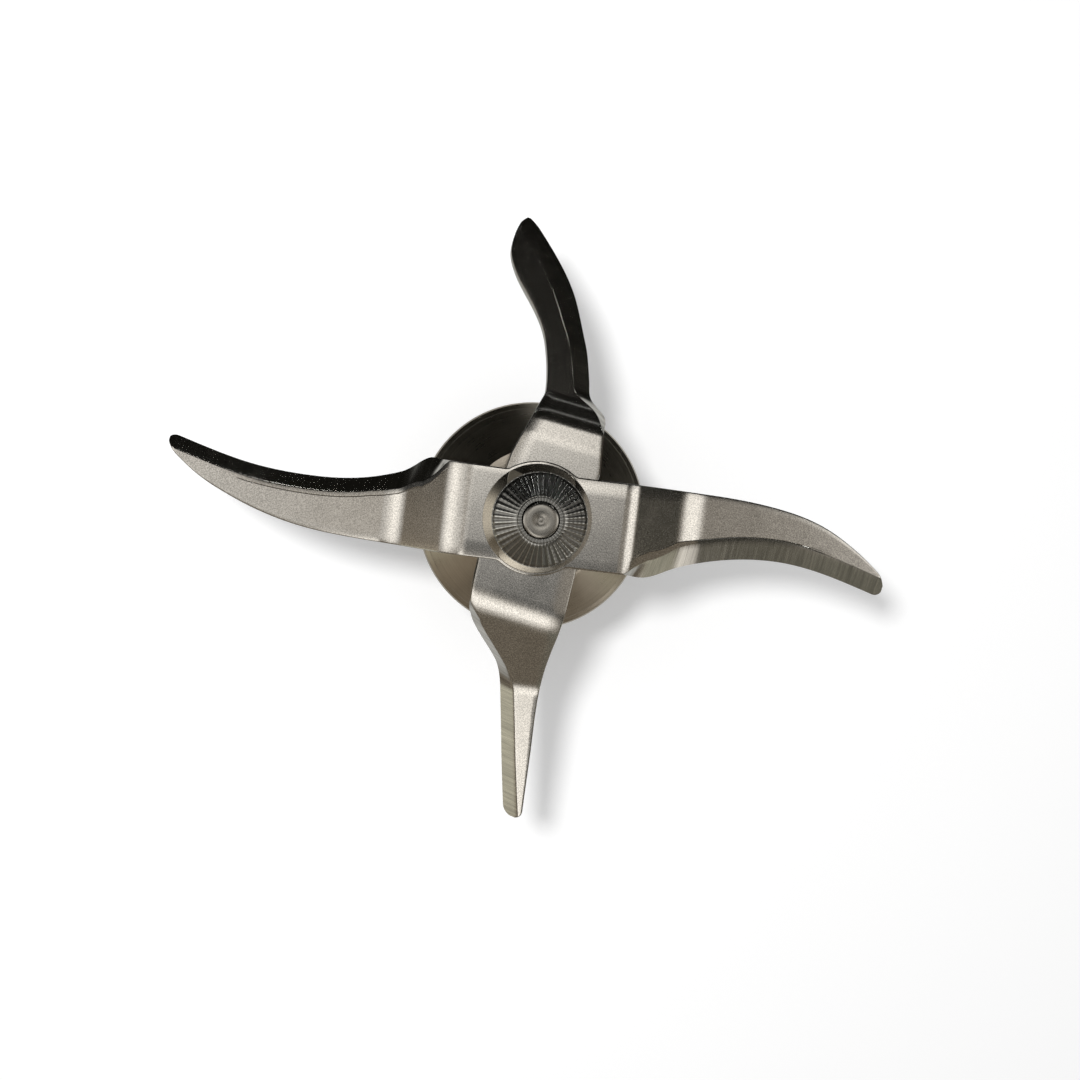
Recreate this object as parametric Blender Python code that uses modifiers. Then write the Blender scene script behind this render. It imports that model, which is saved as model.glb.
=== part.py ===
"""Four-armed knife of a cooking food processor, with its sealed bearing unit.

The knife stands upright on the foot of its bearing housing. +Z is the spin axis, pointing
up to the ribbed cap, and z = 0 is the foot. +X runs along one of the two long arms.
Two punched and folded blade plates lie crosswise on a shaft with two flats, held down by
the cap. The shaft runs in two ball bearings inside a turned steel bell, behind a lip seal,
and carries a lobed drive coupling in the mouth of the housing.
"""
import math

import bmesh
import bpy
from mathutils import Vector

MM = 0.001

# Clearances
SEAT = 0.3 * MM             # between pieces that touch or are pressed together
RUNNING_GAP = 0.6 * MM      # between turning and standing pieces
BALL_GAP = 0.15 * MM        # between a ball and its raceway

# Blade plates
PLATE_THICKNESS = 1.8 * MM
EYE_RADIUS = 10.1 * MM      # round middle of each plate, under the cap
EDGE_LAND = 0.15 * MM       # flat left on a ground cutting edge
EDGE_BREAK = 0.25 * MM      # broken corner along a punched edge
LONG_ROOT_HALF = 8.0 * MM   # half width of the long arms' root
SHORT_PLATE_TURN = 83.0     # degrees between the plates

# Shaft and coupling
SHAFT_RADIUS = 4.0 * MM
SHAFT_TOP_RADIUS = 3.1 * MM
SHAFT_TOP_RISE = 9.0 * MM   # from the upper plate to the shaft's end
FLAT_HALF = 3.0 * MM        # half the distance across the two flats
SHAFT_GROOVE_DEPTH = 0.6 * MM
CENTRE_DRILL_RADIUS = 1.1 * MM
CENTRE_DRILL_DEPTH = 0.8 * MM
COUPLING_RECESS = 1.0 * MM  # from the foot up to the coupling's end
COUPLING_LENGTH = 8.0 * MM
COUPLING_RADIUS = 5.7 * MM  # mean radius of the lobed outline
COUPLING_LOBES = 6
LOBE_HEIGHT = 0.8 * MM
COUPLING_WALL = 1.9 * MM    # from the hollows between the lobes to the bore
COUPLING_END_WALL = 1.8 * MM

# Ball bearings
BEARING_OUTER_RADIUS = 11.0 * MM
BEARING_WIDTH = 7.0 * MM
BALL_RADIUS = 1.95 * MM
BALL_COUNT = 7
PITCH_RADIUS = (SHAFT_RADIUS + BEARING_OUTER_RADIUS) / 2
RACE_SHOULDER = 0.72 * BALL_RADIUS  # pitch circle to a ring's shoulder
CAGE_WALL = 0.9 * MM
CAGE_HEIGHT = 5.6 * MM
SPACER_LENGTH = 5.0 * MM
SPACER_WALL = 1.5 * MM
CLIP_THICKNESS = 1.1 * MM
CLIP_WIDTH = 2.3 * MM
CLIP_GAP = 28.0             # half angle of a clip's opening, degrees

# Seal and hub collar
SEAL_RADIUS = 8.0 * MM
SEAL_HEIGHT = 3.8 * MM
SEAL_CASE_WALL = 0.8 * MM
SHELF_THICKNESS = 0.7 * MM
LIP_THICKNESS = 0.8 * MM
COLLAR_LENGTH = 3.2 * MM

# Bearing housing
SLEEVE_WALL = 4.0 * MM      # round the bearings
SLEEVE_RADIUS = BEARING_OUTER_RADIUS + SLEEVE_WALL
FOOT_CHAMFER = 0.5 * MM
MOUTH_RADIUS = BEARING_OUTER_RADIUS + 0.9 * MM
MOUTH_GROOVE_DEPTH = 0.5 * MM
RIM_OVERHANG = 5.9 * MM     # from the sleeve out to the bell's rim
RIM_RADIUS = SLEEVE_RADIUS + RIM_OVERHANG
RIM_LIP = 1.0 * MM
LAND_WIDTH = 4.3 * MM       # from the seal out to the edge of the neck's flat top
LAND_RADIUS = SEAL_RADIUS + LAND_WIDTH
BELL_HEIGHT = 6.8 * MM      # from the rim's upper edge to the land
LAND_OVER_SEAL = 2.4 * MM
SKIRT_DEPTH = 3.3 * MM
SKIRT_WALL = 1.1 * MM
RECESS_DEPTH = 0.9 * MM
LUG_COUNT = 3
LUG_REACH = 2.2 * MM
LUG_HEIGHT = 3.0 * MM
LUG_WIDTH = 9.0 * MM
LUG_BASE = 18.0 * MM
GASKET_HEIGHT = 1.6 * MM
GASKET_EDGE = 0.3 * MM

# Cap
CAP_BASE_RADIUS = 9.6 * MM
CAP_CREST_RADIUS = 8.5 * MM
CAP_CREST_RISE = 7.0 * MM
CAP_HUB_RISE = 8.7 * MM
CAP_BORE_RADIUS = 3.5 * MM
RIB_COUNT = 44
RIB_HEIGHT = 0.4 * MM
RIB_INNER_RADIUS = 4.1 * MM
RIB_OUTER_RADIUS = 8.1 * MM

ROUND_STEPS = 48
SMALL_STEPS = 28

# Heights up the axis, worked out from the stack
COUPLING_BOTTOM = COUPLING_RECESS
COUPLING_TOP = COUPLING_BOTTOM + COUPLING_LENGTH
CLIP_BOTTOM = COUPLING_TOP + RUNNING_GAP
CLIP_TOP = CLIP_BOTTOM + CLIP_THICKNESS
LOWER_BEARING = CLIP_TOP + SEAT + BEARING_WIDTH / 2
SPACER_BOTTOM = LOWER_BEARING + BEARING_WIDTH / 2 + SEAT
UPPER_BEARING = SPACER_BOTTOM + SPACER_LENGTH + SEAT + BEARING_WIDTH / 2
SHELF_BOTTOM = UPPER_BEARING + BEARING_WIDTH / 2 + SEAT
SHELF_TOP = SHELF_BOTTOM + SHELF_THICKNESS
SEAL_BOTTOM = SHELF_TOP + SEAT
SEAL_TOP = SEAL_BOTTOM + SEAL_HEIGHT
COLLAR_BOTTOM = SEAL_TOP + RUNNING_GAP
COLLAR_TOP = COLLAR_BOTTOM + COLLAR_LENGTH
LOWER_PLATE = COLLAR_TOP + SEAT
UPPER_PLATE = LOWER_PLATE + PLATE_THICKNESS + SEAT
PLATES_TOP = UPPER_PLATE + PLATE_THICKNESS
CAP_BASE = PLATES_TOP + SEAT
SHAFT_END = PLATES_TOP + SHAFT_TOP_RISE
LAND_Z = SEAL_TOP + LAND_OVER_SEAL
RIM_Z = LAND_Z - BELL_HEIGHT
SKIRT_BOTTOM = RIM_Z - SKIRT_DEPTH
UNDERSIDE_Z = SKIRT_BOTTOM + RECESS_DEPTH

# An arm's edges are smooth curves through a few knots: distance from the axis as a share of
# the reach, side position (towards the leading side), and slope. The bevel's knots give the
# distance as a share of the reach and the ground width.
LEFT_ARM = {
    "reach": 68.4 * MM,
    "root_half": LONG_ROOT_HALF,
    "lead": [(0.275, 8.3 * MM, 0.0), (0.30, 8.5 * MM, 0.0), (0.39, 5.3 * MM, -0.4),
             (0.61, 2.65 * MM, 0.0), (0.77, 3.4 * MM, 0.15), (1.0, 7.3 * MM, 0.27)],
    "back": [(0.25, -8.0 * MM, 0.02), (0.50, -7.5 * MM, 0.06), (0.655, -6.3 * MM, 0.2),
             (0.82, -2.8 * MM, 0.43), (0.94, 1.6 * MM, 0.75), (1.0, 5.0 * MM, 0.95)],
    "bevel": [(0.12, 0.25 * MM), (0.26, 0.5 * MM), (0.295, 1.8 * MM), (0.34, 3.4 * MM),
              (0.46, 2.5 * MM), (1.0, 2.4 * MM)],
    "folds": [(12.8 * MM, 0.0, -34.0, 7.5 * MM), (24.0 * MM, 0.0, 30.0, 11.0 * MM)],
}
RIGHT_ARM = {
    "reach": 67.8 * MM,
    "root_half": LONG_ROOT_HALF,
    "lead": [(0.24, 8.1 * MM, 0.0), (0.305, 8.4 * MM, 0.0), (0.42, 6.1 * MM, -0.36),
             (0.68, 2.9 * MM, 0.0), (0.87, 4.8 * MM, 0.26), (1.0, 7.3 * MM, 0.29)],
    "back": [(0.25, -8.0 * MM, 0.0), (0.49, -7.8 * MM, 0.02), (0.705, -6.5 * MM, 0.18),
             (0.835, -3.75 * MM, 0.48), (0.93, 0.1 * MM, 0.7), (1.0, 3.9 * MM, 0.9)],
    "bevel": [(0.24, 0.25 * MM), (0.265, 1.6 * MM), (0.31, 3.3 * MM), (0.40, 4.2 * MM),
              (0.50, 3.7 * MM), (1.0, 3.3 * MM)],
    "folds": [(14.4 * MM, 0.0, -29.0, 4.0 * MM), (26.2 * MM, 0.0, 25.0, 15.0 * MM)],
}
TOP_ARM = {
    "reach": 53.8 * MM,
    "root_half": 8.1 * MM,
    "lead": [(0.19, 9.2 * MM, -0.12), (0.335, 8.1 * MM, -0.1), (0.40, 7.9 * MM, -0.6),
             (0.44, 5.0 * MM, -0.9), (0.498, 3.7 * MM, -0.3), (0.625, 1.2 * MM, -0.47),
             (0.755, -2.0 * MM, -0.52), (0.845, -5.2 * MM, -0.85), (1.0, -12.8 * MM, -0.9)],
    "back": [(0.19, -7.0 * MM, 0.28), (0.405, -3.7 * MM, 0.28), (0.435, -3.6 * MM, -0.12),
             (0.54, -5.0 * MM, -0.3), (0.645, -7.6 * MM, -0.66), (0.70, -9.9 * MM, -0.85),
             (0.79, -13.7 * MM, -0.66), (0.87, -15.5 * MM, -0.12), (1.0, -14.4 * MM, 0.35)],
    "bevel": [(0.325, 0.25 * MM), (0.40, 2.6 * MM), (0.445, 3.1 * MM), (0.61, 3.6 * MM),
              (0.84, 5.0 * MM), (1.0, 5.2 * MM)],
    "folds": [(16.0 * MM, 2.0, -33.0, 7.5 * MM), (20.8 * MM, 2.0, 22.0, 4.0 * MM)],
}
BOTTOM_ARM = {
    "reach": 56.1 * MM,
    "root_half": 8.6 * MM,
    "lead": [(0.19, 8.3 * MM, 0.0), (0.315, 7.8 * MM, -0.2), (0.365, 6.8 * MM, -0.55),
             (0.415, 4.7 * MM, -0.88), (0.495, 0.8 * MM, -0.7), (0.555, -0.8 * MM, -0.38),
             (0.61, -1.8 * MM, -0.29), (1.0, -8.25 * MM, -0.31)],
    "back": [(0.15, -9.2 * MM, 0.0), (0.305, -9.1 * MM, 0.05), (0.48, -8.5 * MM, 0.02),
             (0.595, -8.7 * MM, -0.08), (0.83, -10.5 * MM, -0.12), (1.0, -11.7 * MM, -0.12)],
    "bevel": [(0.305, 0.25 * MM), (0.355, 2.0 * MM), (0.42, 2.2 * MM), (0.49, 1.9 * MM),
              (0.59, 2.5 * MM), (1.0, 2.8 * MM)],
    "folds": [(14.0 * MM, 4.0, -27.0, 12.5 * MM), (30.7 * MM, -7.0, 22.0, 9.0 * MM)],
}
TIP_ROUND = 1.5 * MM        # length over which an arm's end is rounded off
BEND_STATIONS = 5
BLADE_STATIONS = 15


def clear_scene():
    """Remove whatever the file holds."""
    for obj in list(bpy.data.objects):
        bpy.data.objects.remove(obj, do_unlink=True)


def make_collection(name):
    """Make a collection under the scene's own."""
    collection = bpy.data.collections.new(name)
    bpy.context.scene.collection.children.link(collection)
    return collection


def make_material(name, color, roughness, metallic=1.0):
    """Make a Principled material with one colour."""
    material = bpy.data.materials.new(name)
    material.use_nodes = True
    shader = material.node_tree.nodes["Principled BSDF"]
    shader.inputs["Base Color"].default_value = (*color, 1.0)
    shader.inputs["Roughness"].default_value = roughness
    shader.inputs["Metallic"].default_value = metallic
    material.diffuse_color = (*color, 1.0)
    return material


def place(name, mesh, material, parent, location=(0, 0, 0), turn=0.0):
    """Put a mesh into the parts' collection, on the axis that carries it."""
    obj = bpy.data.objects.new(name, mesh)
    if material is not None and not mesh.materials:
        mesh.materials.append(material)
    obj.location = location
    obj.rotation_euler = (0, 0, turn)
    obj.parent = parent
    parts.objects.link(obj)
    return obj


def place_cutter(name, mesh, location=(0, 0, 0)):
    """Put a mesh into the cutters' collection, hidden from renders."""
    obj = bpy.data.objects.new(name, mesh)
    obj.location = location
    obj.hide_render = True
    obj.display_type = "WIRE"
    cutters.objects.link(obj)
    return obj


def combine(obj, tool, operation="DIFFERENCE"):
    """Cut or join a piece with a closed tool."""
    boolean = obj.modifiers.new(tool.name, "BOOLEAN")
    boolean.object = tool
    boolean.operation = operation
    boolean.solver = "EXACT"


def profile_mesh(name, points):
    """Make a closed profile in the XZ plane; it runs down its outer side."""
    mesh = bpy.data.meshes.new(name)
    count = len(points)
    closed = min(r for r, z in points) > 0
    edges = [(i, (i + 1) % count) for i in range(count if closed else count - 1)]
    mesh.from_pydata([(r, 0, z) for r, z in points], edges, [])
    return mesh


def screw(obj, steps):
    """Turn a profile about the object's Z axis."""
    modifier = obj.modifiers.new("turn", "SCREW")
    modifier.axis = "Z"
    modifier.angle = 2 * math.pi
    modifier.steps = steps
    modifier.render_steps = steps
    modifier.use_merge_vertices = True
    modifier.merge_threshold = 0.00001


def turned(name, points, material, parent, location=(0, 0, 0), steps=ROUND_STEPS):
    """Make a turned piece from its profile."""
    obj = place(name, profile_mesh(name, points), material, parent, location)
    screw(obj, steps)
    return obj


def baked_mesh(obj, name):
    """Evaluate an object to a plain mesh, weld it and remove the object."""
    graph = bpy.context.evaluated_depsgraph_get()
    mesh = bpy.data.meshes.new_from_object(obj.evaluated_get(graph))
    mesh.name = name
    bpy.data.objects.remove(obj, do_unlink=True)
    edit = bmesh.new()
    edit.from_mesh(mesh)
    bmesh.ops.remove_doubles(edit, verts=edit.verts, dist=0.000001)
    edit.to_mesh(mesh)
    edit.free()
    return mesh


def outline_mesh(name, points, depth, chamfer=0.0):
    """Extrude a flat outline upwards from z = 0."""
    curve = bpy.data.curves.new(name, "CURVE")
    curve.dimensions = "2D"
    curve.fill_mode = "BOTH"
    curve.extrude = depth / 2 - chamfer
    curve.bevel_depth = chamfer
    curve.bevel_resolution = 0
    curve.offset = -chamfer
    spline = curve.splines.new("POLY")
    spline.points.add(len(points) - 1)
    for point, (x, y) in zip(spline.points, points):
        point.co = (x, y, 0, 1)
    spline.use_cyclic_u = True
    obj = bpy.data.objects.new(name, curve)
    parts.objects.link(obj)
    mesh = baked_mesh(obj, name)
    for vertex in mesh.vertices:
        vertex.co.z += depth / 2
    return mesh


def box_mesh(name, low, high):
    """Make a box between two corners."""
    mesh = bpy.data.meshes.new(name)
    edit = bmesh.new()
    bmesh.ops.create_cube(edit, size=1)
    for vertex in edit.verts:
        vertex.co = Vector([a + (b - a) * (c + 0.5) for a, b, c in zip(low, high, vertex.co)])
    edit.to_mesh(mesh)
    edit.free()
    return mesh


def cylinder_mesh(name, radius, bottom, top, steps=SMALL_STEPS):
    """Make a closed cylinder on the Z axis."""
    mesh = bpy.data.meshes.new(name)
    edit = bmesh.new()
    bmesh.ops.create_cone(edit, cap_ends=True, segments=steps, radius1=radius,
                          radius2=radius, depth=top - bottom)
    bmesh.ops.translate(edit, verts=edit.verts, vec=(0, 0, (top + bottom) / 2))
    edit.to_mesh(mesh)
    edit.free()
    return mesh


def smooth_value(knots, at):
    """Read a smooth curve through knots of (place, value, slope)."""
    if at <= knots[0][0]:
        return knots[0][1]
    for (x0, y0, m0), (x1, y1, m1) in zip(knots, knots[1:]):
        if at <= x1:
            span = x1 - x0
            t = (at - x0) / span
            return (y0 * (1 - 3 * t**2 + 2 * t**3) + m0 * span * (t - 2 * t**2 + t**3)
                    + y1 * (3 * t**2 - 2 * t**3) + m1 * span * (t**3 - t**2))
    return knots[-1][1]


def straight_value(knots, at):
    """Read straight lines through knots of (place, value)."""
    if at <= knots[0][0]:
        return knots[0][1]
    for (x0, y0), (x1, y1) in zip(knots, knots[1:]):
        if at <= x1:
            return y0 + (y1 - y0) * (at - x0) / (x1 - x0)
    return knots[-1][1]


def edge_knots(arm, side):
    """Scale an edge's knots to the arm's reach."""
    return [(share * arm["reach"], value, slope) for share, value, slope in arm[side]]


def fold_point(point, fold):
    """Bend a point about a fold line across the arm; a negative angle folds down."""
    start, skew, angle, radius = fold
    turn = math.radians(skew)
    out = Vector((math.cos(turn), math.sin(turn), 0))
    along = Vector((-math.sin(turn), math.cos(turn), 0))
    origin = Vector((start, 0, 0))
    flat = Vector((point.x, point.y, 0)) - origin
    distance = flat.dot(out)
    if distance <= 0:
        return point.copy()
    sign = 1 if angle > 0 else -1
    bend = min(distance / radius, math.radians(abs(angle)))
    rest = distance - bend * radius
    inner = radius - sign * point.z
    reach = inner * math.sin(bend) + rest * math.cos(bend)
    rise = sign * (radius - inner * math.cos(bend) + rest * math.sin(bend))
    return origin + out * reach + along * flat.dot(along) + Vector((0, 0, rise))


def arm_stations(arm):
    """List the distances along a flat arm at which its section is drawn."""
    reach = arm["reach"]
    tip_start = reach - TIP_ROUND
    stations = [EYE_RADIUS * math.sin(math.radians(a)) for a in (12, 24, 36, 46, 55, 64, 72, 80)]
    for start, skew, angle, radius in arm["folds"]:
        length = radius * math.radians(abs(angle))
        stations += [start + length * i / BEND_STATIONS for i in range(BEND_STATIONS + 1)]
    first_end = stations[-BEND_STATIONS - 2]
    blade_start = stations[-1]
    second_start = stations[-BEND_STATIONS - 1]
    stations += [first_end + (second_start - first_end) * share for share in (0.25, 0.5, 0.75)]
    first_start = arm["folds"][0][0]
    stations += [first_start - (first_start - EYE_RADIUS) * share for share in (0.35, 0.7)]
    stations += [blade_start + (tip_start - blade_start) * i / BLADE_STATIONS
                 for i in range(1, BLADE_STATIONS + 1)]
    stations += [tip_start + TIP_ROUND * share for share in (0.4, 0.7, 0.88)]
    return sorted(stations)


def arm_section(arm, at):
    """Give the six corners of a flat arm's section, from the leading to the back edge."""
    reach = arm["reach"]
    lead_knots = edge_knots(arm, "lead")
    back_knots = edge_knots(arm, "back")
    eye = math.sqrt(max(EYE_RADIUS**2 - at**2, 0))
    root = arm["root_half"]
    first_lead, first_back = lead_knots[0], back_knots[0]
    lead = smooth_value(lead_knots, at) if at > first_lead[0] else first_lead[1]
    back = smooth_value(back_knots, at) if at > first_back[0] else first_back[1]
    if at < first_lead[0]:
        lead = max(root + (first_lead[1] - root) * at / first_lead[0], eye)
    if at < first_back[0]:
        back = min(-root + (first_back[1] + root) * at / first_back[0], -eye)
    past = (at - (reach - TIP_ROUND)) / TIP_ROUND
    if past > 0:
        shrink = math.sqrt(max(1 - past**2, 0.0))
        middle = (lead + back) / 2
        lead = middle + (lead - middle) * shrink
        back = middle + (back - middle) * shrink
    knots = [(share * reach, width) for share, width in arm["bevel"]]
    wanted = straight_value(knots, at)
    full_drop = PLATE_THICKNESS - EDGE_LAND
    grown = min(1.0, (wanted - EDGE_BREAK) / (2.0 * MM))
    drop = EDGE_BREAK + (full_drop - EDGE_BREAK) * max(grown, 0.0)
    width = min(wanted, 0.82 * (lead - back))
    rim = min(EDGE_BREAK, 0.1 * (lead - back))
    top = PLATE_THICKNESS
    return [(lead, 0.0), (lead, top - drop), (lead - width, top),
            (back + rim, top), (back, top - EDGE_BREAK), (back, 0.0)]


def skew_shift(arm, at):
    """Lean the sections with the fold lines that they pass."""
    (first, first_skew, _, _), (second, second_skew, _, _) = arm["folds"]
    knots = [(EYE_RADIUS, 0.0), (first, math.tan(math.radians(first_skew))),
             (second, math.tan(math.radians(second_skew))), (arm["reach"] * 0.8, 0.0)]
    return straight_value(knots, at)


def folded_section(arm, at):
    """Give an arm's section in its folded place, outward along +X and leading towards -Y."""
    lean = skew_shift(arm, at)
    points = []
    for side, height in arm_section(arm, at):
        shifted = at - lean * side
        corner = Vector((shifted, side, height - PLATE_THICKNESS / 2))
        for fold in reversed(arm["folds"]):
            corner = fold_point(corner, fold)
        points.append(Vector((corner.x, -corner.y, corner.z + PLATE_THICKNESS / 2)))
    return points


def blade_plate_mesh(name, first_arm, second_arm):
    """Loft one blade plate from the tip of one arm through its eye to the other's tip."""
    sections = []
    for at in reversed(arm_stations(second_arm)):
        points = folded_section(second_arm, at)
        sections.append([Vector((-p.x, -p.y, p.z)) for p in reversed(points)])
    middle = {"reach": first_arm["reach"], "root_half": EYE_RADIUS,
              "lead": [(0, EYE_RADIUS, 0)], "back": [(0, -EYE_RADIUS, 0)],
              "bevel": [(0, EDGE_BREAK)]}
    sections.append([Vector((0, -side, height)) for side, height in arm_section(middle, 0)])
    sections += [folded_section(first_arm, at) for at in arm_stations(first_arm)]
    mesh = bpy.data.meshes.new(name)
    edit = bmesh.new()
    rings = [[edit.verts.new(p) for p in section] for section in sections]
    for near, far in zip(rings, rings[1:]):
        for i in range(len(near)):
            j = (i + 1) % len(near)
            edit.faces.new((near[i], near[j], far[j], far[i]))
    edit.faces.new(list(reversed(rings[0])))
    edit.faces.new(rings[-1])
    bmesh.ops.recalc_face_normals(edit, faces=edit.faces)
    bmesh.ops.triangulate(edit, faces=edit.faces)
    edit.to_mesh(mesh)
    edit.free()
    return mesh


def flats_cutter():
    """Make the cutter of the plates' hole: round, with two flats."""
    mesh = cylinder_mesh("shaft_hole", SHAFT_RADIUS + SEAT, LOWER_PLATE - MM, PLATES_TOP + MM)
    limit = FLAT_HALF + SEAT
    for vertex in mesh.vertices:
        vertex.co.y = max(-limit, min(limit, vertex.co.y))
    edit = bmesh.new()
    edit.from_mesh(mesh)
    bmesh.ops.remove_doubles(edit, verts=edit.verts, dist=0.000001)
    edit.to_mesh(mesh)
    edit.free()
    return place_cutter("shaft_hole", mesh)


def make_blades(hole):
    """Make the two crossed blade plates."""
    steel = make_material("ground_blade_steel", (0.60, 0.58, 0.55), 0.30)
    upper = place("upper_blade", blade_plate_mesh("upper_blade", RIGHT_ARM, LEFT_ARM),
                  steel, rotor, (0, 0, UPPER_PLATE))
    lower = place("lower_blade", blade_plate_mesh("lower_blade", TOP_ARM, BOTTOM_ARM),
                  steel, rotor, (0, 0, LOWER_PLATE), math.radians(SHORT_PLATE_TURN))
    for plate in (upper, lower):
        combine(plate, hole)


def make_cap():
    """Make the cap: a smooth tapered wall under a ribbed shallow cone."""
    slope = (CAP_HUB_RISE - CAP_CREST_RISE) / (RIB_OUTER_RADIUS - RIB_INNER_RADIUS)

    def cone(radius):
        return PLATES_TOP + CAP_HUB_RISE - slope * (radius - RIB_INNER_RADIUS)

    crest = PLATES_TOP + CAP_CREST_RISE
    middle = (RIB_INNER_RADIUS + RIB_OUTER_RADIUS) / 2
    profile = [(CAP_BORE_RADIUS, cone(RIB_INNER_RADIUS)),
               (RIB_INNER_RADIUS - 0.2 * MM, cone(RIB_INNER_RADIUS)),
               (RIB_INNER_RADIUS + 0.3 * MM, cone(RIB_INNER_RADIUS + 0.3 * MM)),
               (middle, cone(middle)),
               (RIB_OUTER_RADIUS, cone(RIB_OUTER_RADIUS)),
               (CAP_CREST_RADIUS, crest - RIB_HEIGHT),
               (CAP_BASE_RADIUS, CAP_BASE + 0.3 * MM),
               (CAP_BASE_RADIUS, CAP_BASE),
               (CAP_BORE_RADIUS, CAP_BASE)]
    plain = turned("plain_cap", profile, None, None, steps=2 * RIB_COUNT)
    mesh = baked_mesh(plain, "blade_cap")
    low, high = RIB_INNER_RADIUS + 0.2 * MM, RIB_OUTER_RADIUS + 0.1 * MM
    for vertex in mesh.vertices:
        radius = math.hypot(vertex.co.x, vertex.co.y)
        spoke = round(math.atan2(vertex.co.y, vertex.co.x) * RIB_COUNT / math.pi)
        if low < radius < high and spoke % 2 and vertex.co.z > CAP_BASE + MM:
            vertex.co.z += RIB_HEIGHT * (0.5 + 0.5 * (radius - low) / (high - low))
    steel = make_material("cap_steel", (0.50, 0.50, 0.48), 0.25)
    return place("blade_cap", mesh, steel, rotor)


def make_shaft():
    """Make the shaft: flats through the plates, a turned-down top with a centre drilling."""
    groove_radius = SHAFT_RADIUS - SHAFT_GROOVE_DEPTH
    shank = SHAFT_TOP_RADIUS
    edge = 0.25 * MM
    bottom = COUPLING_BOTTOM + COUPLING_END_WALL + SEAT
    neck_radius = COUPLING_RADIUS - LOBE_HEIGHT - COUPLING_WALL
    profile = [(0, SHAFT_END - CENTRE_DRILL_DEPTH),
               (CENTRE_DRILL_RADIUS, SHAFT_END),
               (shank - edge, SHAFT_END),
               (shank, SHAFT_END - edge),
               (shank, CAP_BASE),
               (SHAFT_RADIUS, CAP_BASE),
               (SHAFT_RADIUS, CLIP_TOP + SEAT / 2),
               (groove_radius, CLIP_TOP + SEAT / 2),
               (groove_radius, CLIP_BOTTOM - SEAT / 2),
               (SHAFT_RADIUS, CLIP_BOTTOM - SEAT / 2),
               (SHAFT_RADIUS, COUPLING_TOP + SEAT),
               (neck_radius, COUPLING_TOP + SEAT),
               (neck_radius, bottom),
               (0, bottom)]
    steel = make_material("shaft_steel", (0.62, 0.61, 0.58), 0.28)
    shaft = turned("drive_shaft", profile, steel, rotor, steps=SMALL_STEPS)
    reach = SHAFT_RADIUS + MM
    for name, side in (("near_flat", -1), ("far_flat", 1)):
        near, far = sorted((side * FLAT_HALF, side * reach))
        tool = box_mesh(name, (-reach, near, COLLAR_TOP), (reach, far, CAP_BASE + MM))
        combine(shaft, place_cutter(name, tool))
    return neck_radius


def make_coupling(neck_radius):
    """Make the lobed drive coupling that is pressed on the shaft's lower end."""
    points = []
    count = 8 * COUPLING_LOBES
    for i in range(count):
        angle = 2 * math.pi * i / count
        radius = COUPLING_RADIUS + LOBE_HEIGHT * math.cos(COUPLING_LOBES * angle)
        points.append((radius * math.cos(angle), radius * math.sin(angle)))
    mesh = outline_mesh("drive_coupling", points, COUPLING_LENGTH, 0.3 * MM)
    steel = make_material("coupling_steel", (0.42, 0.41, 0.40), 0.38)
    coupling = place("drive_coupling", mesh, steel, rotor, (0, 0, COUPLING_BOTTOM))
    bore = cylinder_mesh("coupling_bore", neck_radius + SEAT,
                         COUPLING_BOTTOM + COUPLING_END_WALL, COUPLING_TOP + MM)
    combine(coupling, place_cutter("coupling_bore", bore))


def clip_outline(inner, outer):
    """Draw an open retaining ring with square ends."""
    count = 18
    half = math.radians(CLIP_GAP)
    angles = [half + (2 * math.pi - 2 * half) * i / count for i in range(count + 1)]
    outside = [(outer * math.cos(a), outer * math.sin(a)) for a in angles]
    inside = [(inner * math.cos(a), inner * math.sin(a)) for a in reversed(angles)]
    return outside + inside


def make_clips():
    """Make the shaft's retaining ring and the housing's circlip."""
    steel = make_material("spring_steel", (0.30, 0.30, 0.31), 0.35)
    inner = SHAFT_RADIUS - SHAFT_GROOVE_DEPTH + SEAT
    ring = outline_mesh("shaft_retaining_ring", clip_outline(inner, inner + CLIP_WIDTH),
                        CLIP_THICKNESS)
    place("shaft_retaining_ring", ring, steel, rotor, (0, 0, CLIP_BOTTOM))
    outer = MOUTH_RADIUS + MOUTH_GROOVE_DEPTH
    circlip = outline_mesh("housing_circlip", clip_outline(outer - CLIP_WIDTH, outer),
                           CLIP_THICKNESS)
    place("housing_circlip", circlip, steel, housing, (0, 0, CLIP_BOTTOM))


def race_arc(centre, sign):
    """Give the raceway's arc across a ring, seen from its shoulder side."""
    groove = BALL_RADIUS + BALL_GAP
    reach = math.acos(RACE_SHOULDER / groove)
    count = 4
    points = []
    for i in range(count + 1):
        angle = reach - 2 * reach * i / count
        points.append((centre + sign * groove * math.cos(angle), groove * math.sin(angle)))
    return points


def make_bearing(prefix, height, carrier):
    """Make one ball bearing: two rings, a cage and its balls."""
    steel = make_material(prefix + "_bearing_steel", (0.58, 0.58, 0.58), 0.2)
    half = BEARING_WIDTH / 2
    inner_wall = PITCH_RADIUS + RACE_SHOULDER
    outer = [(BEARING_OUTER_RADIUS, half), (BEARING_OUTER_RADIUS, -half), (inner_wall, -half)]
    outer += list(reversed(race_arc(PITCH_RADIUS, 1)))
    outer += [(inner_wall, half)]
    turned(prefix + "_bearing_outer_ring", outer, steel, housing, (0, 0, height), SMALL_STEPS)
    bore = SHAFT_RADIUS + SEAT
    outside = PITCH_RADIUS - RACE_SHOULDER
    inner = [(outside, half)] + race_arc(PITCH_RADIUS, -1)
    inner += [(outside, -half), (bore, -half), (bore, half)]
    turned(prefix + "_bearing_inner_ring", inner, steel, rotor, (0, 0, height), SMALL_STEPS)
    make_cage(prefix, height, carrier)
    make_balls(prefix, height, carrier, steel)


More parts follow.
